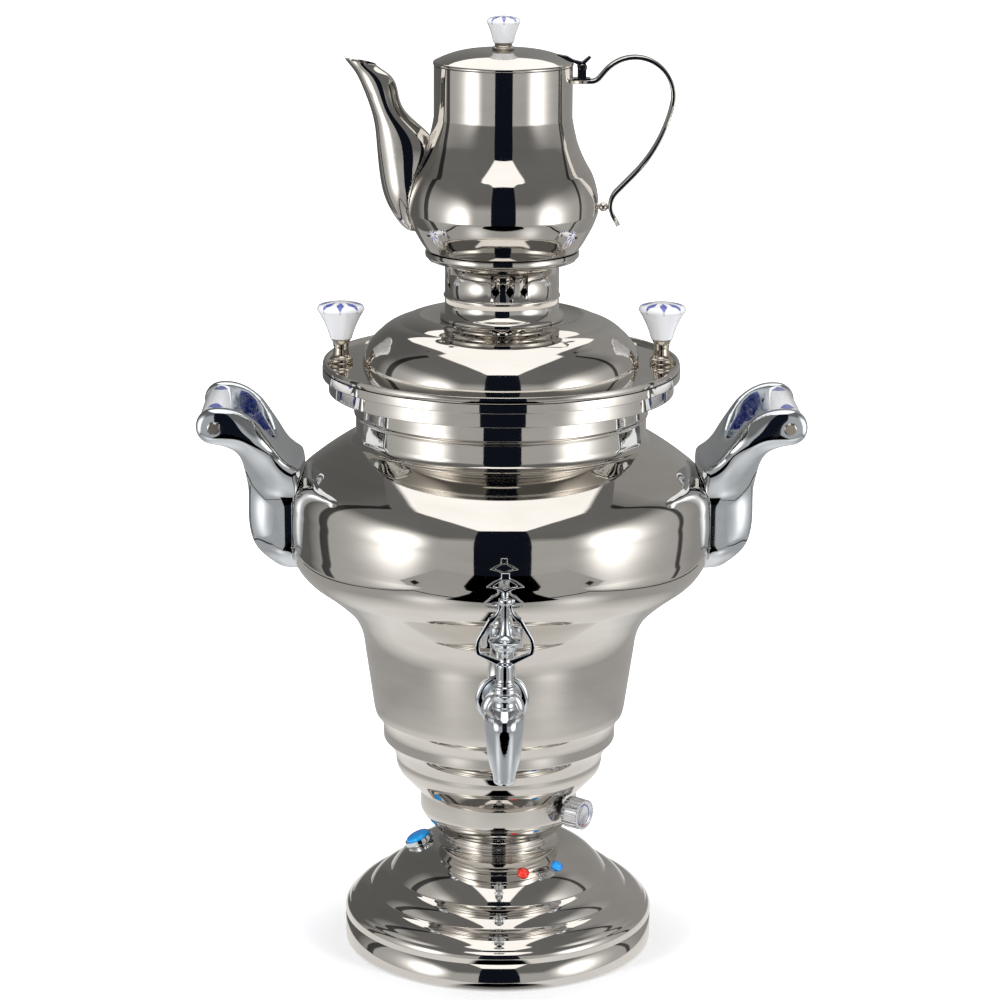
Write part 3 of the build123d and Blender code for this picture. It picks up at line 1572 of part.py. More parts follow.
with BuildPart() as teapot_handle:
    with BuildLine(Plane.XZ) as strip_path:
        root = Line((root_start, root_level), root_end)
        lift = JernArc(root @ 1, root % 1, strip_lift_radius, strip_lift_angle)
        climb = Line(lift @ 1, lift @ 1 + (lift % 1) * strip_climb)
        crest = JernArc(climb @ 1, climb % 1, strip_crest_radius, -strip_crest_angle)
        back = JernArc(crest @ 1, crest % 1, strip_back_radius, -strip_back_angle)
        fall = Line(back @ 1, back @ 1 + (back % 1) * strip_fall)
        curl = JernArc(fall @ 1, fall % 1, strip_curl_radius, strip_curl_angle)
        Line(curl @ 1, curl @ 1 + (curl % 1) * strip_tail)
    with BuildSketch(Plane(origin=(root_start, 0, root_level), x_dir=(0, 1, 0), z_dir=(1, 0, 0))):
        RectangleRounded(strip_width, strip_thickness, 0.8)
    sweep(path=strip_path.wires()[0])
teapot_handle.part.label = "teapot_handle"
export_step(teapot_handle.part, "parts/teapot_handle.step")

bead_level = pot_belly_level + pot_belly_band / 2
strip_near = curl.arc_center.X - strip_curl_radius - strip_thickness / 2


with BuildPart() as handle_bead:
    with Locations(((pot_belly_radius + strip_near) / 2, 0, bead_level)):
        Sphere(bead_radius)
    with BuildSketch(Plane.YZ.offset(pot_belly_radius + press_gap)):
        with Locations((0, bead_level)):
            Circle(bead_pin_radius)
    extrude(amount=strip_near - pot_belly_radius - 2 * press_gap)
handle_bead.part.label = "handle_bead"
export_step(handle_bead.part, "parts/handle_bead.step")

# ---------------------------------------------------------------- teapot lid

pot_lid_bottom = pot_top + lift_gap
pot_lid_top = pot_lid_bottom + pot_lid_rim + pot_lid_shoulder_rise + pot_lid_top_rise
pot_lid_stages = [
    (pot_lid_radius, pot_lid_rim, 0.4),
    (pot_lid_shoulder_radius, pot_lid_shoulder_rise, 0),
    (pot_lid_top_radius, pot_lid_top_rise, 1.6),
]
pot_skirt_outer = pot_mouth_radius - teapot_wall - pot_lid_skirt_gap

with BuildPart() as pot_lid_form:
    with BuildSketch(Plane.XZ):
        with BuildLine():
            turned((pot_lid_radius, pot_lid_bottom + press_gap), pot_lid_stages)
        make_face()
    revolve(axis=Axis.Z)

with BuildPart() as teapot_lid:
    with BuildSketch(Plane.XZ):
        with BuildLine():
            brim = [(pot_lid_radius, 0, 0)]
            crest_end = [(0, 0, 0)]
            sheet(
                (pot_skirt_outer - teapot_wall, pot_lid_bottom),
                brim + pot_lid_stages + crest_end,
                teapot_wall,
            )
        make_face()
        skirt_middle = pot_skirt_outer - teapot_wall / 2
        with Locations((skirt_middle, pot_lid_bottom - pot_lid_skirt_depth / 2 + teapot_wall / 2)):
            Rectangle(teapot_wall, pot_lid_skirt_depth + teapot_wall)
    revolve(axis=Axis.Z)
    with BuildSketch(Plane.XY.offset(pot_lid_bottom)):
        Circle(pot_screw_radius + running_fit)
    extrude(amount=pot_lid_top, mode=Mode.SUBTRACT)
teapot_lid.part.label = "teapot_lid"
export_step(teapot_lid.part, "parts/teapot_lid.step")

pot_ferrule_foot = pot_lid_top + press_gap
pot_knob_foot = pot_ferrule_foot + pot_ferrule_height + press_gap

with BuildPart() as teapot_ferrule:
    with BuildSketch(Plane.XZ):
        with BuildLine():
            turned(
                (pot_ferrule_radius + 0.8, pot_ferrule_foot),
                [
                    (pot_ferrule_radius + 0.8, pot_ferrule_height * 0.3, 0.3),
                    (pot_ferrule_radius - 1.0, pot_ferrule_height * 0.3, -0.3),
                    (pot_ferrule_radius, pot_ferrule_height * 0.4, -0.3),
                ],
            )
        make_face()
        Rectangle(2 * (pot_screw_radius + running_fit), 4 * pot_lid_top, mode=Mode.SUBTRACT)
    revolve(axis=Axis.Z)
teapot_ferrule.part.label = "teapot_ferrule"
export_step(teapot_ferrule.part, "parts/teapot_ferrule.step")

with BuildPart() as teapot_lid_knob:
    with BuildSketch(Plane.XZ):
        with BuildLine():
            turned(
                (pot_knob_foot_radius, pot_knob_foot),
                [
                    (pot_knob_radius, pot_knob_height * 0.78, -0.6),
                    (pot_knob_radius - 3, pot_knob_height * 0.16, 0.8),
                    (2.0, pot_knob_height * 0.06, 0.3),
                ],
            )
        make_face()
        with Locations((0, pot_knob_foot)):
            Rectangle(
                2 * (pot_screw_radius + running_fit),
                2 * (pot_screw_reach + 0.5),
                mode=Mode.SUBTRACT,
            )
    revolve(axis=Axis.Z)
teapot_lid_knob.part.label = "teapot_lid_knob"
export_step(teapot_lid_knob.part, "parts/teapot_lid_knob.step")

pot_screw_seat = pot_lid_top - teapot_wall - press_gap

with BuildPart() as teapot_knob_screw:
    with BuildSketch(Plane.XY.offset(pot_screw_seat)):
        Circle(pot_screw_head_radius)
    extrude(amount=-pot_screw_head, taper=15)
    with BuildSketch(Plane.XY.offset(pot_screw_seat)):
        Circle(pot_screw_radius)
    extrude(amount=pot_knob_foot + pot_screw_reach - pot_screw_seat)
teapot_knob_screw.part.label = "teapot_knob_screw"
export_step(teapot_knob_screw.part, "parts/teapot_knob_screw.step")

# ---------------------------------------------------------------- hinge

hinge_x = pot_mouth_radius + hinge_offset
hinge_z = pot_top - hinge_drop
cheek_inner = hinge_knuckle_half + lift_gap
cheek_outer = cheek_inner + hinge_cheek_width
plate_level = root_level + strip_thickness / 2 + press_gap

with BuildPart() as hinge_bracket:
    with BuildSketch(Plane.XZ):
        with Locations((hinge_x, hinge_z)):
            Circle(hinge_knuckle_radius)
        with Locations((hinge_x, (hinge_z + plate_level) / 2)):
            Rectangle(2 * hinge_cheek_half, hinge_z - plate_level)
    extrude(amount=cheek_outer, both=True)
    with BuildSketch(Plane.XZ):
        with Locations((hinge_x, hinge_z)):
            Rectangle(20, 2 * (hinge_z - plate_level - hinge_plate_thickness))
    extrude(amount=cheek_inner, both=True, mode=Mode.SUBTRACT)
    with BuildSketch(Plane.XY.offset(plate_level)):
        with Locations((hinge_x, 0)):
            Rectangle(2 * (hinge_offset - lift_gap), strip_width)
    extrude(amount=hinge_plate_thickness)
    with BuildSketch(Plane.XZ):
        with Locations((hinge_x, hinge_z)):
            Circle(hinge_pin_radius + running_fit)
    extrude(amount=cheek_outer + 1, both=True, mode=Mode.SUBTRACT)
hinge_bracket.part.label = "hinge_bracket"
export_step(hinge_bracket.part, "parts/hinge_bracket.step")

pin_half = cheek_outer + press_gap

with BuildPart() as hinge_pin:
    with BuildSketch(Plane.XZ):
        with Locations((hinge_x, hinge_z)):
            Circle(hinge_pin_radius)
    extrude(amount=pin_half, both=True)
    for end in (-1, 1):
        with BuildSketch(Plane.XZ.offset(end * pin_half)):
            with Locations((hinge_x, hinge_z)):
                Circle(hinge_pin_head_radius)
        extrude(amount=end * hinge_pin_head, taper=15)
hinge_pin.part.label = "hinge_pin"
export_step(hinge_pin.part, "parts/hinge_pin.step")

leaf_top = pot_lid_bottom + pot_lid_rim + leaf_thickness
leaf_tip = pot_lid_radius - leaf_reach
leaf_shoulder = pot_lid_bottom + pot_lid_rim + pot_lid_shoulder_rise

with BuildPart() as lid_leaf:
    with BuildSketch(Plane.XZ):
        with BuildLine():
            Polyline(
                (hinge_x, hinge_z),
                (pot_lid_radius - 1, pot_lid_bottom + pot_lid_rim),
                (leaf_tip, leaf_shoulder),
                (leaf_tip, leaf_shoulder + 3.2),
                (pot_lid_shoulder_radius, leaf_shoulder + leaf_thickness + 0.6),
                (pot_lid_radius, leaf_top + 0.2),
                (hinge_x, hinge_z + hinge_knuckle_radius),
                (hinge_x + thumb_reach - 0.8, hinge_z + thumb_rise),
                (hinge_x + thumb_reach + 0.5, hinge_z + thumb_rise - 1.0),
                (hinge_x + hinge_knuckle_radius * 0.7, hinge_z + hinge_knuckle_radius * 0.7),
                close=True,
            )
        make_face()
        with Locations((hinge_x, hinge_z)):
            Circle(hinge_knuckle_radius)
    extrude(amount=hinge_knuckle_half, both=True)
    add(pot_lid_form.part, mode=Mode.SUBTRACT)
    with BuildSketch(Plane.XZ):
        with Locations((hinge_x, hinge_z)):
            Circle(hinge_pin_radius + running_fit)
    extrude(amount=hinge_knuckle_half + 1, both=True, mode=Mode.SUBTRACT)
lid_leaf.part.label = "lid_leaf"
export_step(lid_leaf.part, "parts/lid_leaf.step")
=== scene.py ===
import bmesh
import bpy
import json
import math
import numpy as np
from mathutils import Matrix, Vector


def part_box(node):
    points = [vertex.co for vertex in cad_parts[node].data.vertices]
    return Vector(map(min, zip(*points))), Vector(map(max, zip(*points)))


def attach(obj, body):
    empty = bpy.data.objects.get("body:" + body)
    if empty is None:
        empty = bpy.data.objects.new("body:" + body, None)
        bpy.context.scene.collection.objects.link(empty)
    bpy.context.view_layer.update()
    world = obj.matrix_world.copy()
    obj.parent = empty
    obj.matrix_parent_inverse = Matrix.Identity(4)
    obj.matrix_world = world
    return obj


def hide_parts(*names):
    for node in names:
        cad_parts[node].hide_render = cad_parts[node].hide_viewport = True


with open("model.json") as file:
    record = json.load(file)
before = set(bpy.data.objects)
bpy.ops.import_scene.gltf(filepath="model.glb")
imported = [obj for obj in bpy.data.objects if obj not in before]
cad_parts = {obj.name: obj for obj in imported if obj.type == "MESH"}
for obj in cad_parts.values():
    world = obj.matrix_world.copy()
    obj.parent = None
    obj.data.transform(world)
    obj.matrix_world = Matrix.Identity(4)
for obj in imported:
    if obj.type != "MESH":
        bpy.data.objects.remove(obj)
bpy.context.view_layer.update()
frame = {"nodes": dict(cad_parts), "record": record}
print("samovar: frame loaded,", len(frame["nodes"]), "nodes")

mm = 0.001
upAxis = ((0, 0, 0), (0, 0, 1))

# shapes

meshing = {
    "run": 0.7,  # mm between the points of a stage
    "bend": 3.2, "gap": 7.0,  # degrees of turn and mm of way after which a soft line keeps a point
    "merge": 2e-6, "sliver": 1e-7, "copyMerge": 3e-6,  # metres
    "sharp": 42, "copySharp": 38,  # degrees over which an edge stays sharp
    "axisFree": 2e-4,  # metres from its axis within which a copy keeps its own normals
    "axisLike": 0.94,  # how nearly a normal points away from the axis before it is set right
    "ease": 0.6,  # the part of the way that one pass of averaging goes
    "inside": (0.5, 0.5),  # mm: radius and step for softening the inner side of a sheet
    "fine": 0.15,  # mm: step for softening a turned solid
}


def placed(name, data):
    # a new object for its data, in the scene
    thing = bpy.data.objects.new(name, data)
    bpy.context.scene.collection.objects.link(thing)
    return thing


def arrayOf(parts, field, width, kind=np.float32):
    # one field of a mesh's vertices, edges or corners, a row for each
    values = np.zeros(len(parts) * width, kind)
    parts.foreach_get(field, values)
    return values.reshape(-1, width)


def stageLine(start, stages):
    # a line of (radius, height) points through stages of (radius, rise, swell): each stage is
    # a straight run plus 4 * swell * t * (1 - t) to its outer side
    parts, here = [np.array([start], float)], np.array(start, float)
    for radius, rise, swell in stages:
        there = np.array((radius, here[1] + rise))
        run = there - here
        span = np.hypot(*run)
        t = np.linspace(0, 1, max(3, int(span / meshing["run"])))[1:, None]
        side = np.array((run[1], -run[0])) / span
        parts.append(here + run * t + side * 4 * swell * t * (1 - t))
        here = there
    return np.concatenate(parts)


def softened(line, radius=0.8, step=0.25):
    # the line walked in even steps, each point averaged with its neighbours within the radius,
    # and then kept only where it bends or has gone on for a while
    gaps = np.hypot(*np.diff(line, axis=0).T)
    walk = np.concatenate(([0], np.cumsum(gaps)))
    even = np.linspace(0, walk[-1], max(8, int(walk[-1] / step)))
    points = np.stack([np.interp(even, walk, line[:, k]) for k in (0, 1)], 1)
    reach = max(1, int(radius / step))
    weight = np.hanning(2 * reach + 3)[1:-1]
    weight = weight / weight.sum()
    padded = np.concatenate((2 * points[0] - points[reach:0:-1], points,
                             2 * points[-1] - points[-2:-reach - 2:-1]))
    soft = np.stack([np.convolve(padded[:, k], weight, "valid") for k in (0, 1)], 1)
    heading = np.unwrap(np.arctan2(*np.diff(soft, axis=0).T))
    turn = np.concatenate(([0], np.abs(np.diff(heading)), [0]))
    score = np.cumsum(turn / math.radians(meshing["bend"]) + step / meshing["gap"])
    keep = np.unique(np.floor(score), return_index=True)[1]
    return soft[np.unique(np.concatenate((keep, [0, len(soft) - 1])))]


def closedSoft(points, radius, step=0.2):
    # a closed outline with its corners rounded
    ring = np.vstack((points, points[:1]))
    start = (ring[0] + ring[1]) / 2
    line = np.vstack(([start], ring[1:], [start]))
    return softened(line, radius, step)[:-1]


def insetLine(start, stages, wall):
    # the inner side of a sheet: the corner points moved in by the wall, then the same stages
    corners = np.concatenate(([start], [(0, 0)] * len(stages))).astype(float)
    for k, (radius, rise, _) in enumerate(stages):
        corners[k + 1] = radius, corners[k][1] + rise
    run = np.diff(corners, axis=0)
    normal = np.stack((-run[:, 1], run[:, 0]), 1) / np.hypot(*run.T)[:, None]
    before, after = np.vstack((normal[:1], normal)), np.vstack((normal, normal[-1:]))
    inner = corners + wall * (before + after) / (1 + (before * after).sum(1))[:, None]
    return stageLine(inner[0], [(b[0], b[1] - a[1], stage[2])
                                for a, b, stage in zip(inner, inner[1:], stages)])


def newPiece(name, verts, faces):
    # verts in metres in the row frame, faces as index lists; doubles merged, faces turned outwards
    mesh = bpy.data.meshes.new(name)
    mesh.from_pydata(verts.tolist(), [], faces.tolist())
    bm = bmesh.new()
    bm.from_mesh(mesh)
    bmesh.ops.remove_doubles(bm, verts=bm.verts, dist=meshing["merge"])
    bmesh.ops.dissolve_degenerate(bm, edges=bm.edges, dist=meshing["sliver"])
    bmesh.ops.recalc_face_normals(bm, faces=bm.faces)
    bm.to_mesh(mesh)
    bm.free()
    mesh.shade_smooth()
    mesh.set_sharp_from_angle(angle=math.radians(meshing["sharp"]))
    return placed(name, mesh)


def turned(name, outline, segments, centre=(0, 0)):
    # a closed outline of (radius, height) in mm carried once round a vertical axis
    count = len(outline)
    angle = np.linspace(0, 2 * math.pi, segments, endpoint=False)[:, None]
    radius, height = outline[:, 0][None], outline[:, 1][None]
    verts = np.stack((centre[0] + radius * np.cos(angle), centre[1] + radius * np.sin(angle),
                      height + 0 * angle), 2).reshape(-1, 3) * mm
    i, j = np.meshgrid(np.arange(segments), np.arange(count), indexing="ij")
    i2, j2 = (i + 1) % segments, (j + 1) % count
    faces = np.stack((i * count + j, i2 * count + j, i2 * count + j2, i * count + j2), 2)
    return newPiece(name, verts, faces.reshape(-1, 4))


def sheetPiece(name, shape, segments):
    # a turned sheet: its outer line up, its inner line back down
    outer = softened(stageLine(shape["start"], shape["stages"]))
    inner = softened(insetLine(shape["start"], shape["stages"], shape["wall"]), *meshing["inside"])
    return turned(name, np.concatenate((outer, inner[::-1])), segments)


def solidPiece(name, shape, segments, centre=(0, 0)):
    # a turned solid from its axis out, up its stages and back to the axis
    line = stageLine(shape["start"], shape["stages"])
    line = np.vstack(([[0, line[0][1]]], line, [[0, line[-1][1]]]))
    return turned(name, softened(line, shape["soft"], meshing["fine"]), segments, centre)


def roundNormals(mesh, point, along):
    # round an axis, each normal keeps its tilt and takes the exact direction away from the axis:
    # away * sqrt(1 - tilt squared) + along * tilt
    point, along = np.array(point, float), np.array(along, float)
    along /= np.linalg.norm(along)
    normals = arrayOf(mesh.corner_normals, "vector", 3).astype(float)
    corner = arrayOf(mesh.loops, "vertex_index", 1, np.int32)[:, 0]
    away = arrayOf(mesh.vertices, "co", 3).astype(float)[corner] - point
    away -= (away @ along)[:, None] * along
    far = np.linalg.norm(away, axis=1)
    away /= np.maximum(far, 1e-9)[:, None]
    tilt = normals @ along
    side = (normals * away).sum(1)
    flat = np.sqrt(np.clip(1 - tilt ** 2, 0, 1)) * np.sign(side)
    exact = away * flat[:, None] + along * tilt[:, None]
    least = meshing["axisLike"] * np.sqrt(np.clip(1 - tilt ** 2, 1e-9, 1))
    good = (far > meshing["axisFree"]) & (np.abs(side) > least)
    normals[good] = exact[good]
    mesh.normals_split_custom_set(normals.tolist())


def cadCopy(name, node, axis=None):
    # a merged copy of a node with smooth shading, exactly round its axis where it has one
    mesh = frame["nodes"][node].data.copy()
    bm = bmesh.new()
    bm.from_mesh(mesh)
    bmesh.ops.remove_doubles(bm, verts=bm.verts, dist=meshing["copyMerge"])
    bm.to_mesh(mesh)
    bm.free()
    mesh.shade_smooth()
    mesh.set_sharp_from_angle(angle=math.radians(meshing["copySharp"]))
    if axis:
        roundNormals(mesh, *axis)
    return placed(name, mesh)


# finishes


class Paint:
    # the nodes of a material or of the world, with a short call for each kind that is used; a
    # value is a number, a vector, a colour or what another call gave

    def __init__(self, owner, empty=False):
        owner.use_nodes = True
        self.owner, self.nodes, self.links = owner, owner.node_tree.nodes, owner.node_tree.links
        if empty:
            self.nodes.clear()
        self.shader = self.nodes.get("Principled BSDF")

    def feed(self, socket, value):
        if isinstance(value, bpy.types.NodeSocket):
            self.links.new(value, socket)
        else:
            socket.default_value = value

    def node(self, kind, output, inputs, **settings):
        node = self.nodes.new("ShaderNode" + kind)
        for name, value in settings.items():
            setattr(node, name, value)
        for name, value in inputs.items():
            self.feed(node.inputs[name], value)
        return node.outputs[output]

    def shade(self, inputs):
        for name, value in inputs.items():
            self.feed(self.shader.inputs[name], value)

    def place(self):
        return self.node("TexCoord", "Object", {})

    def axes(self, vector):
        split = self.nodes.new("ShaderNodeSeparateXYZ")
        self.feed(split.inputs["Vector"], vector)
        return [split.outputs[name] for name in "XYZ"]

    def calc(self, kind, *values):
        return self.node("Math", 0, dict(enumerate(values)), operation=kind)

    def plus(self, first, second):
        return self.calc("ADD", first, second)

    def minus(self, first, second):
        return self.calc("SUBTRACT", first, second)

    def times(self, first, second):
        return self.calc("MULTIPLY", first, second)

    def vector(self, kind, *values):
        return self.node("VectorMath", "Value", dict(enumerate(values)), operation=kind)

    def mapped(self, vector, **change):
        # moved or scaled, by location= or scale=
        inputs = {name.capitalize(): value for name, value in change.items()}
        return self.node("Mapping", "Vector", {"Vector": vector, **inputs})

    def noise(self, vector, scale, detail=3, rough=0.5):
        return self.node("TexNoise", "Fac", {"Vector": vector, "Scale": scale, "Detail": detail,
                                             "Roughness": rough})

    def ramp(self, value, low, high, fromLow=0.0, fromHigh=1.0):
        # low to high as the value goes from fromLow to fromHigh
        return self.node("MapRange", 0, {"Value": value, "From Min": fromLow, "From Max": fromHigh,
                                         "To Min": low, "To Max": high})

    def stripe(self, value, low, high, soft):
        # 1 between low and high, 0 outside, over a soft edge
        return self.times(self.ramp(value, 0, 1, low - soft, low + soft),
                          self.ramp(value, 1, 0, high - soft, high + soft))

    def mix(self, share, first, second):
        # the first colour where the share is 0, the second where it is 1
        first, second = (value if isinstance(value, bpy.types.NodeSocket) else (*value, 1)
                         for value in (first, second))
        return self.node("Mix", "Result", {"Factor": share, "A": first, "B": second},
                         data_type="RGBA")

    def bump(self, height, strength, depth):
        self.shade({"Normal": self.node("Bump", "Normal", {
            "Height": height, "Strength": strength, "Distance": depth})})


def paintOf(name):
    return Paint(bpy.data.materials.new(name))


metalLook = {
    "dents": 9, "smear": (14, 14, 60), "spun": (1, 1, 900),  # scales of its three patterns
    "toneFrom": (0.3, 0.7), "roughFrom": (0.3, 0.75),  # the part of the smear that each takes
    "spunShare": 0.02, "relief": 0.25, "depth": 0.0012,
}


def metal(name, dark, light, rough, wobble=0.35, lines=0.12):
    # polished metal: faint hand polish in its gloss, soft dents in its sheet, fine spun lines
    paint = paintOf(name)
    place = paint.place()
    dents = paint.noise(place, metalLook["dents"], 2)
    smear = paint.noise(paint.mapped(place, scale=metalLook["smear"]), 1, 4, 0.6)
    spun = paint.noise(paint.mapped(place, scale=metalLook["spun"]), 1, 2)
    tone = paint.ramp(smear, 0, 1, *metalLook["toneFrom"])
    paint.shade({"Metallic": 1, "Base Color": paint.mix(tone, dark, light),
                 "Roughness": paint.ramp(smear, *rough, *metalLook["roughFrom"])})
    height = paint.plus(paint.times(dents, wobble), paint.times(spun, lines * metalLook["spunShare"]))
    paint.bump(height, metalLook["relief"], metalLook["depth"])
    return paint.owner


mouldedLook = {"mottle": 60, "mottleFrom": (0.3, 0.7), "finer": 12, "relief": 0.3, "depth": 0.0003}


def moulded(name, dark, light, rough):
    # moulded and rubber parts: mottled colour and gloss over a fine grain
    paint = paintOf(name)
    place = paint.place()
    mottle = paint.noise(place, mouldedLook["mottle"], 4)
    tone = paint.ramp(mottle, 0, 1, *mouldedLook["mottleFrom"])
    paint.shade({"Base Color": paint.mix(tone, dark, light),
                 "Roughness": paint.ramp(mottle, *rough, *mouldedLook["mottleFrom"])})
    grain = paint.noise(place, mouldedLook["mottle"] * mouldedLook["finer"], 2)
    paint.bump(grain, mouldedLook["relief"], mouldedLook["depth"])
    return paint.owner


lensLook = {"blend": 0.35, "cloud": 180, "cloudShare": 0.3, "rough": (0.04, 0.12), "coat": 0.6,
            "glow": 0.25}


def lens(name, deep, bright):
    # a coloured plastic lens, lighter towards its lit middle
    paint = paintOf(name)
    facing = paint.node("LayerWeight", "Facing", {"Blend": lensLook["blend"]})
    cloud = paint.noise(paint.place(), lensLook["cloud"], 2)
    tone = paint.mix(paint.plus(facing, paint.times(cloud, lensLook["cloudShare"])), bright, deep)
    paint.shade({"Base Color": tone, "Emission Color": tone, "Emission Strength": lensLook["glow"],
                 "Roughness": paint.ramp(cloud, *lensLook["rough"]), "Coat Weight": lensLook["coat"]})
    return paint.owner


petalLook = {
    "ink": (0.012, 0.035, 0.32), "grain": 900, "cover": (0.72, 1.0), "coverFrom": (0.3, 0.6),
    "glaze": ((0.78, 0.79, 0.81), (0.84, 0.84, 0.85)), "cloud": 70,
    "taper": 3.0, "widest": -0.42, "edge": 0.08, "crownEdge": 0.3,
    "smear": 30, "rough": (0.03, 0.09), "coat": 1.0, "coatRough": 0.02,
    "waves": 55, "relief": 0.15, "depth": 0.0006,
}


def petals(name, centre, reach, count=8, along="Z", crown=None):
    # white glaze with painted petals round an axis, from the first to the second reach in mm;
    # the crown is the height over the centre, in mm, below which the glaze is bare
    paint = paintOf(name)
    place = paint.place()
    x, y, z = paint.axes(paint.mapped(place, location=tuple(-c * mm for c in centre)))
    first, second, third = (x, y, z) if along == "Z" else (x, z, y)
    wave = paint.calc("COSINE", paint.times(paint.calc("ARCTAN2", second, first), count))
    if along == "Z":
        squares = paint.plus(paint.calc("POWER", first, 2.0), paint.calc("POWER", second, 2.0))
        spread = paint.calc("POWER", squares, 0.5)
    else:
        spread = paint.calc("ABSOLUTE", third)
    out = paint.ramp(spread, 0, 1, reach[0] * mm, reach[1] * mm)
    # inside a petal where cos(count * angle) is over a limit that is lowest in its middle
    middle = paint.calc("ABSOLUTE", paint.minus(out, 0.5))
    limit = paint.plus(paint.times(middle, petalLook["taper"]), petalLook["widest"])
    inside = paint.ramp(paint.minus(wave, limit), 0, 1, -petalLook["edge"], petalLook["edge"])
    if crown:
        low, high = crown - petalLook["crownEdge"], crown + petalLook["crownEdge"]
        inside = paint.times(inside, paint.ramp(third, 0, 1, low * mm, high * mm))
    grain = paint.noise(place, petalLook["grain"])
    cover = paint.ramp(grain, *petalLook["cover"], *petalLook["coverFrom"])
    glaze = paint.mix(paint.noise(place, petalLook["cloud"]), *petalLook["glaze"])
    smear = paint.noise(place, petalLook["smear"], 2)
    paint.shade({"Base Color": paint.mix(paint.times(inside, cover), glaze, petalLook["ink"]),
                 "Roughness": paint.ramp(smear, *petalLook["rough"]),
                 "Coat Weight": petalLook["coat"], "Coat Roughness": petalLook["coatRough"]})
    paint.bump(paint.noise(place, petalLook["waves"], 2), petalLook["relief"], petalLook["depth"])
    return paint.owner


dialLook = {
    "azimuth": 52.5,  # degrees that the knob's face is turned round from the front
    "ring": (7.2, 8.2), "mark": 1.6, "edge": 0.1, "face": (4.2, 4.6), "foot": (-6.8, -6.4),  # mm
    "silver": ((0.66, 0.67, 0.70), (0.78, 0.79, 0.82)), "cloud": 220, "metallic": 0.9,
    "blue": (0.01, 0.03, 0.30), "red": (0.62, 0.01, 0.01),
    "rough": (0.22, 0.34), "smear": 90, "grain": 900, "relief": 0.2, "depth": 0.0001,
}


def dialFinish(name, node):
    # satin face round the knob's own axis: a blue ring open at its foot, where a red mark stands
    paint = paintOf(name)
    low, high = (Vector(corner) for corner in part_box(node))
    angle = math.radians(dialLook["azimuth"])
    place = paint.place()
    own = paint.mapped(place, location=tuple(-(low + high) / 2))
    along = paint.vector("DOT_PRODUCT", own, (math.sin(angle), -math.cos(angle), 0))
    side = paint.vector("DOT_PRODUCT", own, (math.cos(angle), math.sin(angle), 0))
    up = paint.axes(own)[2]
    spread = paint.calc("SQRT", paint.plus(paint.times(side, side), paint.times(up, up)))
    face = paint.ramp(along, 0, 1, *(edge * mm for edge in dialLook["face"]))
    foot = paint.ramp(up, 1, 0, *(edge * mm for edge in dialLook["foot"]))
    inner, outer = dialLook["ring"]
    half, soft = dialLook["mark"], dialLook["edge"]
    onRing = paint.times(face, paint.stripe(spread, inner * mm, outer * mm, soft * mm))
    narrow = paint.ramp(paint.calc("ABSOLUTE", side), 1, 0, (half - soft) * mm, (half + soft) * mm)
    blue = paint.times(onRing, paint.minus(1.0, foot))
    red = paint.times(onRing, paint.times(foot, narrow))
    silver = paint.mix(paint.noise(place, dialLook["cloud"]), *dialLook["silver"])
    smear = paint.noise(place, dialLook["smear"])
    paint.shade({"Base Color": paint.mix(red, paint.mix(blue, silver, dialLook["blue"]), dialLook["red"]),
                 "Metallic": paint.minus(dialLook["metallic"], paint.plus(blue, red)),
                 "Roughness": paint.ramp(smear, *dialLook["rough"])})
    paint.bump(paint.noise(place, dialLook["grain"], 2), dialLook["relief"], dialLook["depth"])
    return paint.owner


finish = {
    "knob_chrome": dialFinish("knobChrome", "thermostat_knob"),
    "steel": metal("mirrorSteel", (0.66, 0.635, 0.60), (0.74, 0.715, 0.68), (0.025, 0.06)),
    "strip_steel": metal("stripSteel", (0.68, 0.66, 0.63), (0.75, 0.73, 0.70), (0.06, 0.12)),
    "chrome": metal("castChrome", (0.66, 0.70, 0.75), (0.76, 0.80, 0.84), (0.03, 0.08), 0.6, 0.0),
    "nickel": metal("warmNickel", (0.55, 0.50, 0.43), (0.68, 0.62, 0.55), (0.10, 0.20), 0.4, 0.3),
    "inner_steel": metal("tankSteel", (0.50, 0.50, 0.49), (0.60, 0.59, 0.57), (0.20, 0.36), 0.5, 0.6),
    "zinc": metal("zincPlate", (0.48, 0.49, 0.50), (0.60, 0.60, 0.58), (0.28, 0.42), 0.6, 0.2),
    "tap_brass": metal("tapBrass", (0.62, 0.46, 0.22), (0.76, 0.60, 0.33), (0.16, 0.30), 0.4, 0.3),
    "rubber": moulded("blackRubber", (0.010, 0.010, 0.010), (0.024, 0.024, 0.025), (0.55, 0.75)),
    "control": moulded("controlCase", (0.015, 0.015, 0.017), (0.03, 0.03, 0.033), (0.4, 0.55)),
    "switch_lens": lens("switchLens", (0.0, 0.10, 0.42), (0.01, 0.42, 0.86)),
    "red_lens": lens("redLens", (0.30, 0.004, 0.002), (0.86, 0.04, 0.02)),
    "blue_lens": lens("blueLens", (0.0, 0.08, 0.42), (0.02, 0.38, 0.85)),
}
print("samovar: finishes made")


def settle(piece, nodes, body, slotName, material=None):
    # puts a piece on its body, in place of its nodes if it has any, with its slot's own finish
    # unless it has another
    piece.data.materials.clear()
    piece.data.materials.append(material or finish[slotName])
    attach(piece, body)
    if nodes:
        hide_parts(*nodes)


# base, waist and vessel

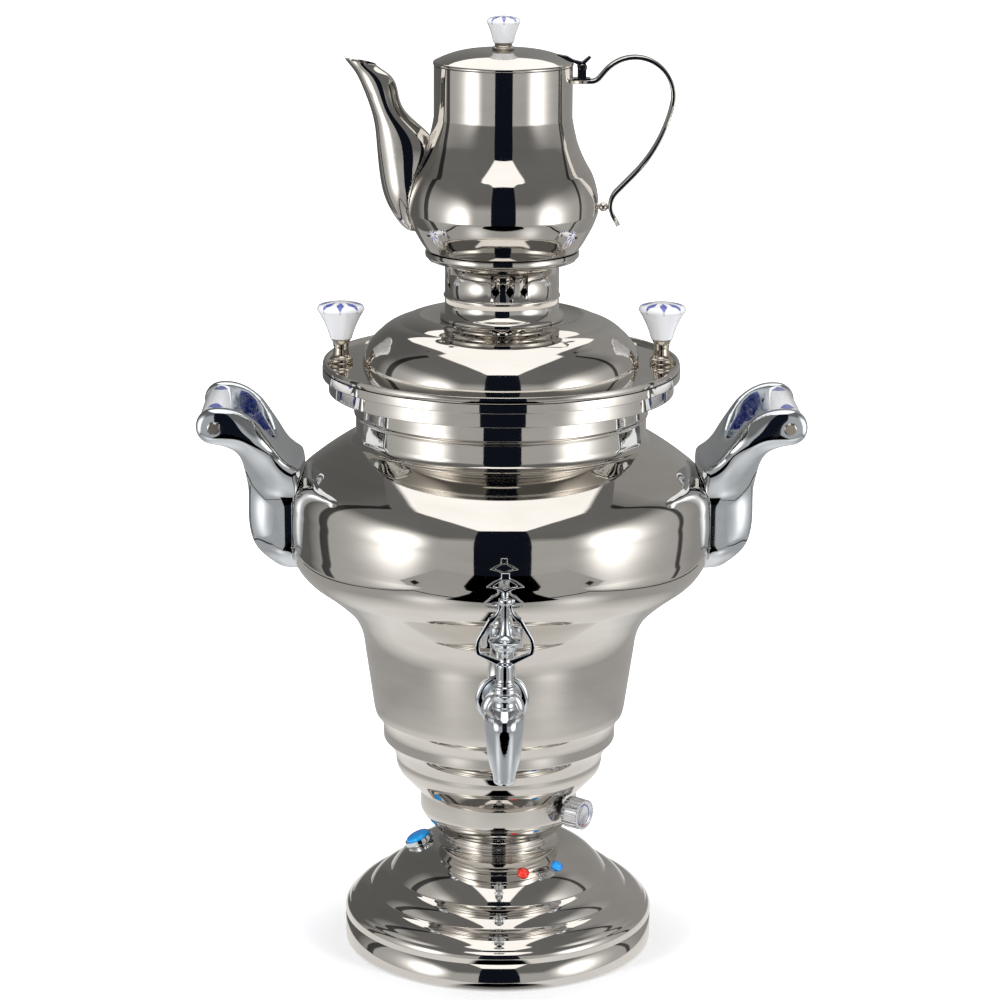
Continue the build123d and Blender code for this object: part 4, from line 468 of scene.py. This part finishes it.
baseDome = {
    "wall": 1.2,
    "start": (116.5, 21.6),
    "stages": [(116.5, 2.4, 0), (113.6, 6, 0.9), (111, 3, 0.2), (97.5, 8.5, 1.2), (82, 11.5, 1.6),
               (48, 24, 4.2), (42, 3.5, -0.8), (12, 0, 0)],
}
waist = {
    "wall": 1.5,
    "start": (37, 86.5),
    "stages": [(45, 0, 0), (52.4, 8.3, 0.3), (59.2, 10.2, 0.9), (59.2, 13.5, 0)],
}
vessel = {
    "wall": 1.0,
    "start": (52, 118.5),
    "stages": [(59.5, 0, 0), (73.5, 15, 0), (77.8, 10, 1), (77.8, 3, 0), (87.2, 14.8, -1.3),
               (87.2, 7.4, 0), (93.2, 12.6, -1.3), (94.3, 4.7, 0), (101.2, 48.5, 0),
               (113.6, 28.8, -2.6), (141, 23, -0.8), (156.5, 31.7, 4.6), (156.5, 25.8, 0.5),
               (144.4, 25.3, 3.4), (112.6, 22.2, 0.8), (107, 8.7, -2), (107, 9.9, 0),
               (107, 3.3, 1.5), (107, 14.3, 0), (126.8, 0, 0), (126.8, 11, 0), (131.3, 0, 0),
               (131.3, 6.5, 0)],
}
vesselRings = ["vessel_foot", "vessel_taper", "vessel_belly", "vessel_shoulder", "vessel_neck"]
settle(sheetPiece("domedBase", baseDome, 224), ["base_shell"], "urn", "steel")
settle(sheetPiece("waistCup", waist, 160), ["waist_ring"], "urn", "steel")
settle(sheetPiece("urnVessel", vessel, 216), vesselRings, "urn", "steel")
settle(cadCopy("baseRing", "base_ring", upAxis), ["base_ring"], "urn", "steel")
settle(cadCopy("columnBead", "column", upAxis), ["column"], "urn", "steel")
print("samovar: base and vessel made")

# lid with its knobs, and the crown

lidDome = {
    "wall": 1.2,
    "start": (102, 445.3),
    "stages": [(102, 2, 0), (90, 22.4, 2.6), (75, 9, 1.2), (60, 5.5, 0.5), (46, -3.2, -0.8),
               (36, 0, 0)],
}
lidFlange = np.array([(100.9, 445.3), (123.4, 445.3), (123.4, 435.3), (124.8, 435.3),
                      (124.8, 445.3), (130.6, 445.3), (131.1, 447.6), (130.4, 449.9),
                      (128.2, 449.9), (126.4, 447.3), (102, 447.3), (100.9, 447.0)])
lidKnob = {
    "offset": 117.5, "petals": (4.5, 17.6), "crown": 20.6, "soft": 0.9,
    "start": (8.0, 465.40),
    "stages": [(17.5, 21.6, -1.0), (13.5, 3.78, 1.2), (3, 1.62, 0.4)],
}
ferrule = {
    "soft": 0.4,
    "start": (8.3, 447.35),
    "stages": [(8.3, 3.6, 0.5), (5.75, 4.5, -0.8), (5.75, 4.5, -0.3), (7.85, 5.4, -0.6)],
}
settle(sheetPiece("lidDome", lidDome, 224), ["main_lid"], "lid", "steel")
settle(turned("lidFlange", closedSoft(lidFlange, 0.4), 224), [], "lid", "steel")
for sideName, side in (("right", 1), ("left", -1)):
    centre = (side * lidKnob["offset"], 0)
    settle(solidPiece("knobFerrule_" + sideName, ferrule, 64, centre), ["lid_ferrule_" + sideName],
           "lid", "nickel")
    glaze = petals("petalGlaze_" + sideName, (*centre, lidKnob["start"][1]), lidKnob["petals"],
                   crown=lidKnob["crown"])
    settle(solidPiece("lidKnob_" + sideName, lidKnob, 96, centre), ["lid_knob_" + sideName],
           "lid", "porcelain", glaze)
settle(cadCopy("crownPiece", "crown_stand", upAxis), ["crown_stand"], "crown", "steel")
print("samovar: lid and crown made")

# teapot

potBody = {
    "wall": 1.0,
    "start": (0, 525.47),
    "stages": [(50.5, 0, 0), (53, 6, 0), (55.2, 0.5, 0), (62.2, 11, 0.3), (69.6, 17, 0.6),
               (69.6, 6, 0), (64, 23, 1.2), (53.6, 22, -0.8), (50, 17, -0.2), (50, 37, 0)],
}
potLid = {
    "wall": 1.0,
    "start": (47.4, 665.27),
    "stages": [(50.3, 0, 0), (50.3, 2.5, 0.4), (46, 2.1, 0), (17, 6.4, 1.6), (0, 0, 0)],
}
potKnob = {
    "petals": (3.0, 12.4), "crown": 13.6, "soft": 0.8,
    "start": (7.6, 681.37),
    "stages": [(12.3, 14.53, -0.6), (9.3, 2.98, 0.8), (2, 1.12, 0.3)],
}
potFerrule = {
    "soft": 0.3,
    "start": (8, 676.32),
    "stages": [(8, 1.5, 0.3), (6.2, 1.5, -0.3), (7.2, 2, -0.3)],
}
settle(sheetPiece("potBody", potBody, 192), ["teapot_base", "teapot_body"], "teapot", "steel")
settle(cadCopy("potSpout", "teapot_spout"), ["teapot_spout"], "teapot", "steel")
settle(cadCopy("potStrip", "teapot_handle"), ["teapot_handle"], "teapot", "strip_steel")
settle(sheetPiece("potLid", potLid, 192), ["teapot_lid"], "teapot_lid", "steel")
glaze = petals("petalGlaze_pot", (0, 0, potKnob["start"][1]), potKnob["petals"],
               crown=potKnob["crown"])
settle(solidPiece("potKnob", potKnob, 96), ["teapot_lid_knob"], "teapot_lid", "porcelain", glaze)
settle(solidPiece("potFerrule", potFerrule, 64), ["teapot_ferrule"], "teapot_lid", "nickel")
print("samovar: teapot made")

# handles, tap and controls

castHandle = {
    "voxel": 1.3, "passes": 26, "boss": (208.0, 409.5),
    "seat": (0.5, 7.0),  # the gap from the vessel over which it comes free to be averaged
    "belt": (255.0, 391.2),  # the heights of the vessel that the gap is taken from
    "boltFree": (6.5, 11.0),  # the same round its bolt
    "crown": 6.5, "crownWidth": 15.0, "crownFree": (12.0, 14.0), "crownLeast": 0.1,
    "armIn": (30.0, 12.0),  # its arms lie this far out from its middle, and over
    "lean": 0.34, "leanFrom": 402.0, "leanTo": 370.0, "leanStart": 158.0,
    "foot": 318.0, "footShort": 0.80,
    "footRound": 16.0, "footOut": (156.0, 28.0), "footTop": 338.0, "footDrop": 44.0,
    "narrow": 0.66, "narrowFrom": 398.0, "narrowTo": 350.0,
    "edge": [(144.5, 375.7), (153.3, 379.7), (160, 385.8), (173.8, 405.9), (187.5, 418.9),
             (208, 423.3), (217.8, 419.3), (221.8, 409.5), (217.8, 399.7), (208, 395.7),
             (193.4, 388.5), (188, 376.5), (183.8, 357.7), (184.4, 322), (176.6, 301.4),
             (156.5, 291.2)],
}
gripPetals = {"reach": (22, 38), "count": 4}
tapCast = {"voxel": 0.42, "tap_key": 5, "tap_rosette": 4}  # mm, and the passes of each
tapAxis = ((0, -0.18, 0), (0, 0, 1))


def rising(value, start, span, least=0.0):
    # the least value up to the start, and then evenly up to 1 over the span
    return np.clip((value - start) / span, least, 1)


def smoothStep(value, low, high):
    # 3 t squared - 2 t cubed, with t from 0 to 1 between low and high
    t = rising(value, low, high - low)
    return t * t * (3 - 2 * t)


def edgeDistance(points, line):
    # the distance of each point to the nearest stretch of an open line
    a, b = np.array(line[:-1], float), np.array(line[1:], float)
    run = b - a
    t = np.clip(((points[:, None] - a) * run).sum(2) / (run ** 2).sum(1), 0, 1)
    return np.linalg.norm(points[:, None] - (a + t[:, :, None] * run), axis=2).min(1)


def voxelMesh(name, node, voxel):
    # the node's mesh remade in even voxels, and its vertices in mm
    source = cadCopy(name + "_source", node)
    modifier = source.modifiers.new("voxels", "REMESH")
    modifier.mode = "VOXEL"
    modifier.voxel_size = voxel * mm
    graph = bpy.context.evaluated_depsgraph_get()
    mesh = bpy.data.meshes.new_from_object(source.evaluated_get(graph))
    old = source.data
    bpy.data.objects.remove(source)
    bpy.data.meshes.remove(old)
    return mesh, arrayOf(mesh.vertices, "co", 3).astype(float) / mm


def averaged(mesh, place, passes, free=1.0):
    # each vertex eased towards the mean of its neighbours, times its freedom, in passes
    edges = arrayOf(mesh.edges, "vertices", 2, np.int32)
    start, end = np.concatenate((edges, edges[:, ::-1])).T
    count = np.bincount(start, minlength=len(place))[:, None]
    for _ in range(passes):
        total = np.stack([np.bincount(start, place[end, k], len(place)) for k in range(3)], 1)
        place = place + meshing["ease"] * free * (total / count - place)
    return place


def smoothPiece(name, mesh, place):
    # a piece from a mesh and the new places of its vertices, in mm
    mesh.vertices.foreach_set("co", (place * mm).astype(np.float32).ravel())
    mesh.shade_smooth()
    mesh.update()
    return placed(name, mesh)


def castPiece(name, node, shape):
    # the node in voxels, its arms crowned on their outer sides, leaned out and drawn together
    # towards the foot at the same distance from the axis, and then averaged, less and less
    # towards its seat on the vessel and its bolt
    mesh, place = voxelMesh(name, node, shape["voxel"])
    side = np.sign(place[:, 0])
    x, y, z = np.abs(place[:, 0]), place[:, 1], place[:, 2]
    fromBoss = np.hypot(x - shape["boss"][0], z - shape["boss"][1])
    near = 1 - edgeDistance(np.stack((x, z), 1), shape["edge"]) / shape["crownWidth"]
    pull = shape["crown"] * np.clip(near, 0, 1) ** 2
    pull = pull * rising(fromBoss, *shape["crownFree"], shape["crownLeast"])
    leaning = smoothStep(-z, -shape["leanFrom"], -shape["leanTo"])
    pull = pull + shape["lean"] * np.clip(x - shape["leanStart"], 0, None) * leaning
    y = np.sign(y) * (np.abs(y) - pull * rising(np.abs(y), *shape["armIn"]))
    z = np.where(z < shape["foot"], shape["foot"] - (shape["foot"] - z) * shape["footShort"], z)
    down = rising(shape["footTop"] - z, 0, shape["footDrop"])
    x = x - shape["footRound"] * rising(x, *shape["footOut"]) * down ** 2
    share = 1 - (1 - shape["narrow"]) * smoothStep(-z, -shape["narrowFrom"], -shape["narrowTo"])
    away, angle = np.hypot(x, y), np.arctan2(y, x) * share
    place = np.stack((away * np.cos(angle), away * np.sin(angle), z), 1)
    line = stageLine(vessel["start"], vessel["stages"])
    belt = line[(line[:, 1] > shape["belt"][0]) & (line[:, 1] < shape["belt"][1])]
    clear = away - np.interp(z, belt[:, 1], belt[:, 0])
    free = rising(clear, *shape["seat"]) * smoothStep(fromBoss, *shape["boltFree"])
    place = averaged(mesh, place, shape["passes"], free[:, None])
    place[:, 0] *= side
    return smoothPiece(name, mesh, place)


for sideName, side in (("right", 1), ("left", -1)):
    handle, grip = "handle_" + sideName, "grip_" + sideName
    settle(castPiece("castHandle_" + sideName, handle, castHandle), [handle], "urn", "chrome")
    middle = (side * castHandle["boss"][0], 0, castHandle["boss"][1])
    glaze = petals("gripGlaze_" + sideName, middle, gripPetals["reach"], gripPetals["count"], "Y")
    gripAxis = (tuple(c * mm for c in middle), (0, 1, 0))
    settle(cadCopy(grip, grip, gripAxis), [grip], "urn", "porcelain", glaze)
for node, body in (("tap_key", "tap_turn"), ("tap_rosette", "urn")):
    mesh, place = voxelMesh("smooth_" + node, node, tapCast["voxel"])
    place = averaged(mesh, place, tapCast[node])
    settle(smoothPiece("smooth_" + node, mesh, place), [node], body, "chrome")
for node, body, slotName, axis in (
        ("tap_body", "urn", "chrome", None), ("tap_cap", "urn", "chrome", tapAxis),
        ("switch_bezel", "urn", "chrome", None), ("switch_button", "switch", "switch_lens", None),
        ("red_lamp", "urn", "red_lens", None), ("blue_lamp", "urn", "blue_lens", None),
        ("thermostat_knob", "thermostat", "knob_chrome", None),
        ("handle_bead", "teapot", "strip_steel", None)):
    settle(cadCopy("smooth_" + node, node, axis), [node], body, slotName)
print("samovar: handles, tap and controls made")

# the nodes that stay as they are

slotOf = {s["node"]: s["material_slot"] for s in frame["record"]["subparts"]}
for node, piece in frame["nodes"].items():
    piece.data.materials.clear()
    piece.data.materials.append(finish.get(slotOf[node], finish["steel"]))

# floor

ground = {
    "half": 40, "tone": ((0.90, 0.90, 0.90), (0.92, 0.92, 0.92)), "cloud": 3,
    "glow": 0.12,
    "seenGlow": (0.10, 0.7), "fade": (0.22, 0.9),  # what the camera sees more, and where
}
half = ground["half"]
floorMesh = bpy.data.meshes.new("studioFloor")
floorMesh.from_pydata([(-half, -half, 0), (half, -half, 0), (half, half, 0), (-half, half, 0)],
                      [], [(0, 1, 2, 3)])
floor = placed("studioFloor", floorMesh)
floor.visible_glossy = False
paint = paintOf("floorPaint")
place = paint.place()
fade = paint.ramp(paint.vector("LENGTH", place), *ground["seenGlow"], *ground["fade"])
seen = paint.node("LightPath", "Is Camera Ray", {})
paint.shade({"Base Color": paint.mix(paint.noise(place, ground["cloud"], 2), *ground["tone"]),
             "Roughness": 1, "Emission Color": (1, 1, 1, 1),
             "Emission Strength": paint.plus(ground["glow"], paint.times(seen, fade))})
floorMesh.materials.append(paint.owner)

# light tent, which only mirrors see

tent = {
    "half": 0.755, "front": -1.2, "back": 1.1, "high": 1.45, "openHalf": 0.303,
    "glow": (1.0, 0.985, 0.96, 1),
    "wallTone": 0.47, "wallTop": 0.17, "fade": (0.62, 0.86),
    "behindFrom": (0.12, 0.40), "behind": {"left": 0.13, "right": 0.34}, "backHalf": 0.5,
    "hot": {"left": (-0.755, -0.60, 0.38), "right": (0.755, -0.53, 0.38)},
    "hotSize": 0.27, "hotPeak": 2.8,
    "seam": {"left": (0.09, 0.20), "right": (0.13, 0.19)}, "seamSoft": 0.01, "seamDark": 0.85,
    "lampTone": 1.4, "lampHalf": 0.576, "lampWiden": 0.23, "lampSoft": 0.015,
}
table = {
    "tone": 0.86, "far": 0.43, "fade": (0.26, 0.46),
    "hotSide": 0.34, "hotFront": -0.42, "hotSize": 0.13, "hotPeak": 0.6,
    # each dark part: from the middle out, from the front back, and how soft these two are
    "opening": ((-1, 0.303), (-2, -0.56), 0.006, 0.006),
    "gloss": ((-1, 0.041), (-0.32, -0.12), 0.005, 0.015),
    "frontEdge": ((-1, 0.69), (-0.70, -0.665), 0.004, 0.004),
    "sideEdges": ((0.66, 0.69), (-0.70, 0.6), 0.004, 0.004),
}


def tentSheet(name, corners):
    # one sheet of the tent; gives its paint, the place on it and the socket for its strength
    mesh = bpy.data.meshes.new(name)
    mesh.from_pydata(corners, [], [(0, 1, 2, 3)])
    sheet = placed(name, mesh)
    sheet.visible_camera = sheet.visible_diffuse = sheet.visible_shadow = False
    sheet.visible_transmission = sheet.visible_volume_scatter = False
    paint = Paint(bpy.data.materials.new(name), empty=True)
    paint.owner.cycles.emission_sampling = "NONE"
    mesh.materials.append(paint.owner)
    glow = paint.nodes.new("ShaderNodeEmission")
    glow.inputs["Color"].default_value = tent["glow"]
    paint.feed(paint.nodes.new("ShaderNodeOutputMaterial").inputs["Surface"], glow.outputs[0])
    return paint, paint.place(), glow.inputs["Strength"]


def upright(x0, y0, x1, y1):
    # the corners of a wall from one point of the floor to another
    high = tent["high"]
    return [(x0, y0, 0), (x1, y1, 0), (x1, y1, high), (x0, y0, high)]


def level(z):
    # the corners of the whole tent at a height
    half, front, back = tent["half"], tent["front"], tent["back"]
    return [(-half, front, z), (half, front, z), (half, back, z), (-half, back, z)]


def hotSpot(paint, place, centre, size, peak):
    # peak * exp(-(distance / size) squared)
    share = paint.calc("DIVIDE", paint.vector("DISTANCE", place, centre), size)
    power = paint.times(paint.times(share, share), -1.0)
    return paint.times(paint.calc("EXPONENT", power), peak)


def wallSheet(name, corners, side):
    # even up to its fade, darker above and behind, with a hot spot and a dark seam between sheets
    paint, place, strength = tentSheet(name, corners)
    y, z = paint.axes(place)[1:]
    tone = paint.ramp(z, tent["wallTone"], tent["wallTop"], *tent["fade"])
    behind = paint.ramp(y, 0, 1, *tent["behindFrom"])
    tone = paint.times(tone, paint.minus(1.0, behind))
    tone = paint.plus(tone, paint.times(behind, tent["behind"][side]))
    seam = paint.stripe(y, *tent["seam"][side], tent["seamSoft"])
    tone = paint.times(tone, paint.minus(1.0, paint.times(seam, tent["seamDark"])))
    hot = hotSpot(paint, place, tent["hot"][side], tent["hotSize"], tent["hotPeak"])
    paint.feed(strength, paint.plus(tone, hot))


def backSheet(name, corners):
    # from the left wall's dark to the right wall's
    paint, place, strength = tentSheet(name, corners)
    paint.feed(strength, paint.ramp(paint.axes(place)[0], tent["behind"]["left"],
                                    tent["behind"]["right"], -tent["backHalf"], tent["backHalf"]))


def roofSheet(name, corners):
    # its lamp is narrow at the opening and widens to the back
    paint, place, strength = tentSheet(name, corners)
    x, y = paint.axes(place)[:2]
    halfLamp = paint.plus(paint.times(y, tent["lampWiden"]), tent["lampHalf"])
    beside = paint.minus(paint.calc("ABSOLUTE", x), halfLamp)
    lamp = paint.ramp(beside, 1, 0, -tent["lampSoft"], tent["lampSoft"])
    more = paint.times(lamp, tent["lampTone"] - tent["wallTop"])
    paint.feed(strength, paint.plus(tent["wallTop"], more))


def tableSheet(name, corners):
    # brightest round the object, with the walls' hot spots on its gloss; dark at its edges, under
    # the opening in front of it, and on its gloss before the base
    paint, place, strength = tentSheet(name, corners)
    x, y = paint.axes(place)[:2]
    spread = paint.calc("SQRT", paint.plus(paint.times(x, x), paint.times(y, y)))
    tone = paint.ramp(spread, table["tone"], table["far"], *table["fade"])
    for hotSide in (-table["hotSide"], table["hotSide"]):
        spot = (hotSide, table["hotFront"], 0)
        tone = paint.plus(tone, hotSpot(paint, place, spot, table["hotSize"], table["hotPeak"]))
    wide = paint.calc("ABSOLUTE", x)
    dark = 0.0
    for part in ("opening", "gloss", "frontEdge", "sideEdges"):
        out, along, outSoft, alongSoft = table[part]
        shape = paint.times(paint.stripe(wide, *out, outSoft), paint.stripe(y, *along, alongSoft))
        dark = paint.calc("MAXIMUM", dark, shape)
    paint.feed(strength, paint.times(paint.minus(1.0, dark), tone))


half, front, back, openHalf = (tent[name] for name in ("half", "front", "back", "openHalf"))
for sideName, side in (("left", -1), ("right", 1)):
    wallSheet("tentSide_" + sideName, upright(side * half, front, side * half, back), sideName)
    wallSheet("tentFront_" + sideName, upright(side * openHalf, front, side * half, front), sideName)
backSheet("tentBack", upright(-half, back, half, back))
roofSheet("tentRoof", level(tent["high"]))
tableSheet("tentTable", level(0))

# room: white for the camera, dark in the mirrors beyond the tent, soft light for all else

room = {
    "outside": ((0.006, 0.008, 0.014, 1), 1.0),  # colour and strength
    "light": ((0.95, 0.96, 1.0, 1), 0.72),
    "white": ((1, 1, 1, 1), 1.0),
}
world = bpy.data.worlds.new("studioRoom")
bpy.context.scene.world = world
paint = Paint(world, empty=True)
path = paint.nodes.new("ShaderNodeLightPath").outputs
glows = {name: paint.node("Background", 0, {"Color": colour, "Strength": strength})
         for name, (colour, strength) in room.items()}
lit = paint.node("MixShader", 0, {"Fac": path["Is Glossy Ray"], 1: glows["light"], 2: glows["outside"]})
lit = paint.node("MixShader", 0, {"Fac": path["Is Camera Ray"], 1: lit, 2: glows["white"]})
paint.feed(paint.nodes.new("ShaderNodeOutputWorld").inputs["Surface"], lit)

# soft lights, each with its place, target, size in metres and power in watts

softboxes = {
    "softboxLeft": ((-2.3, -1.9, 1.5), (0, 0, 0.35), (0.55, 0.9), 30),
    "softboxRight": ((2.3, -1.9, 1.5), (0, 0, 0.35), (0.55, 0.9), 30),
    "softboxTop": ((0, 0.2, 2.9), (0, 0, 0.4), (1.6, 1.2), 45),
}
for name, (spot, target, size, power) in softboxes.items():
    light = bpy.data.lights.new(name, "AREA")
    light.shape = "RECTANGLE"
    light.size, light.size_y = size
    light.energy = power
    lamp = placed(name, light)
    lamp.location = spot
    lamp.rotation_euler = (Vector(target) - Vector(spot)).to_track_quat("-Z", "Y").to_euler()
    lamp.visible_glossy = False

# camera

view = {
    "back": 2.228, "height": 0.921,  # metres
    "pitch": 14.54, "turn": 1.2, "roll": -0.377,  # degrees
    "lens": 111.6, "sensor": 36, "shift": -0.0005, "clipEnd": 100,
}
camera = placed("camera", bpy.data.cameras.new("camera"))
camera.data.lens = view["lens"]
camera.data.sensor_width = view["sensor"]
camera.data.sensor_fit = "HORIZONTAL"
camera.data.clip_end = view["clipEnd"]
camera.data.shift_x = view["shift"]
spin = Matrix.Rotation(math.radians(-view["turn"]), 4, "Z")
stand = Matrix.Translation((0, -view["back"], view["height"]))
aim = Matrix.Rotation(math.radians(90 - view["pitch"]), 4, "X")
roll = Matrix.Rotation(math.radians(-view["roll"]), 4, "Z")
camera.matrix_world = spin @ stand @ aim @ roll
bpy.context.scene.camera = camera
bpy.context.scene.view_settings.view_transform = "Standard"

print("samovar: studio and camera made")
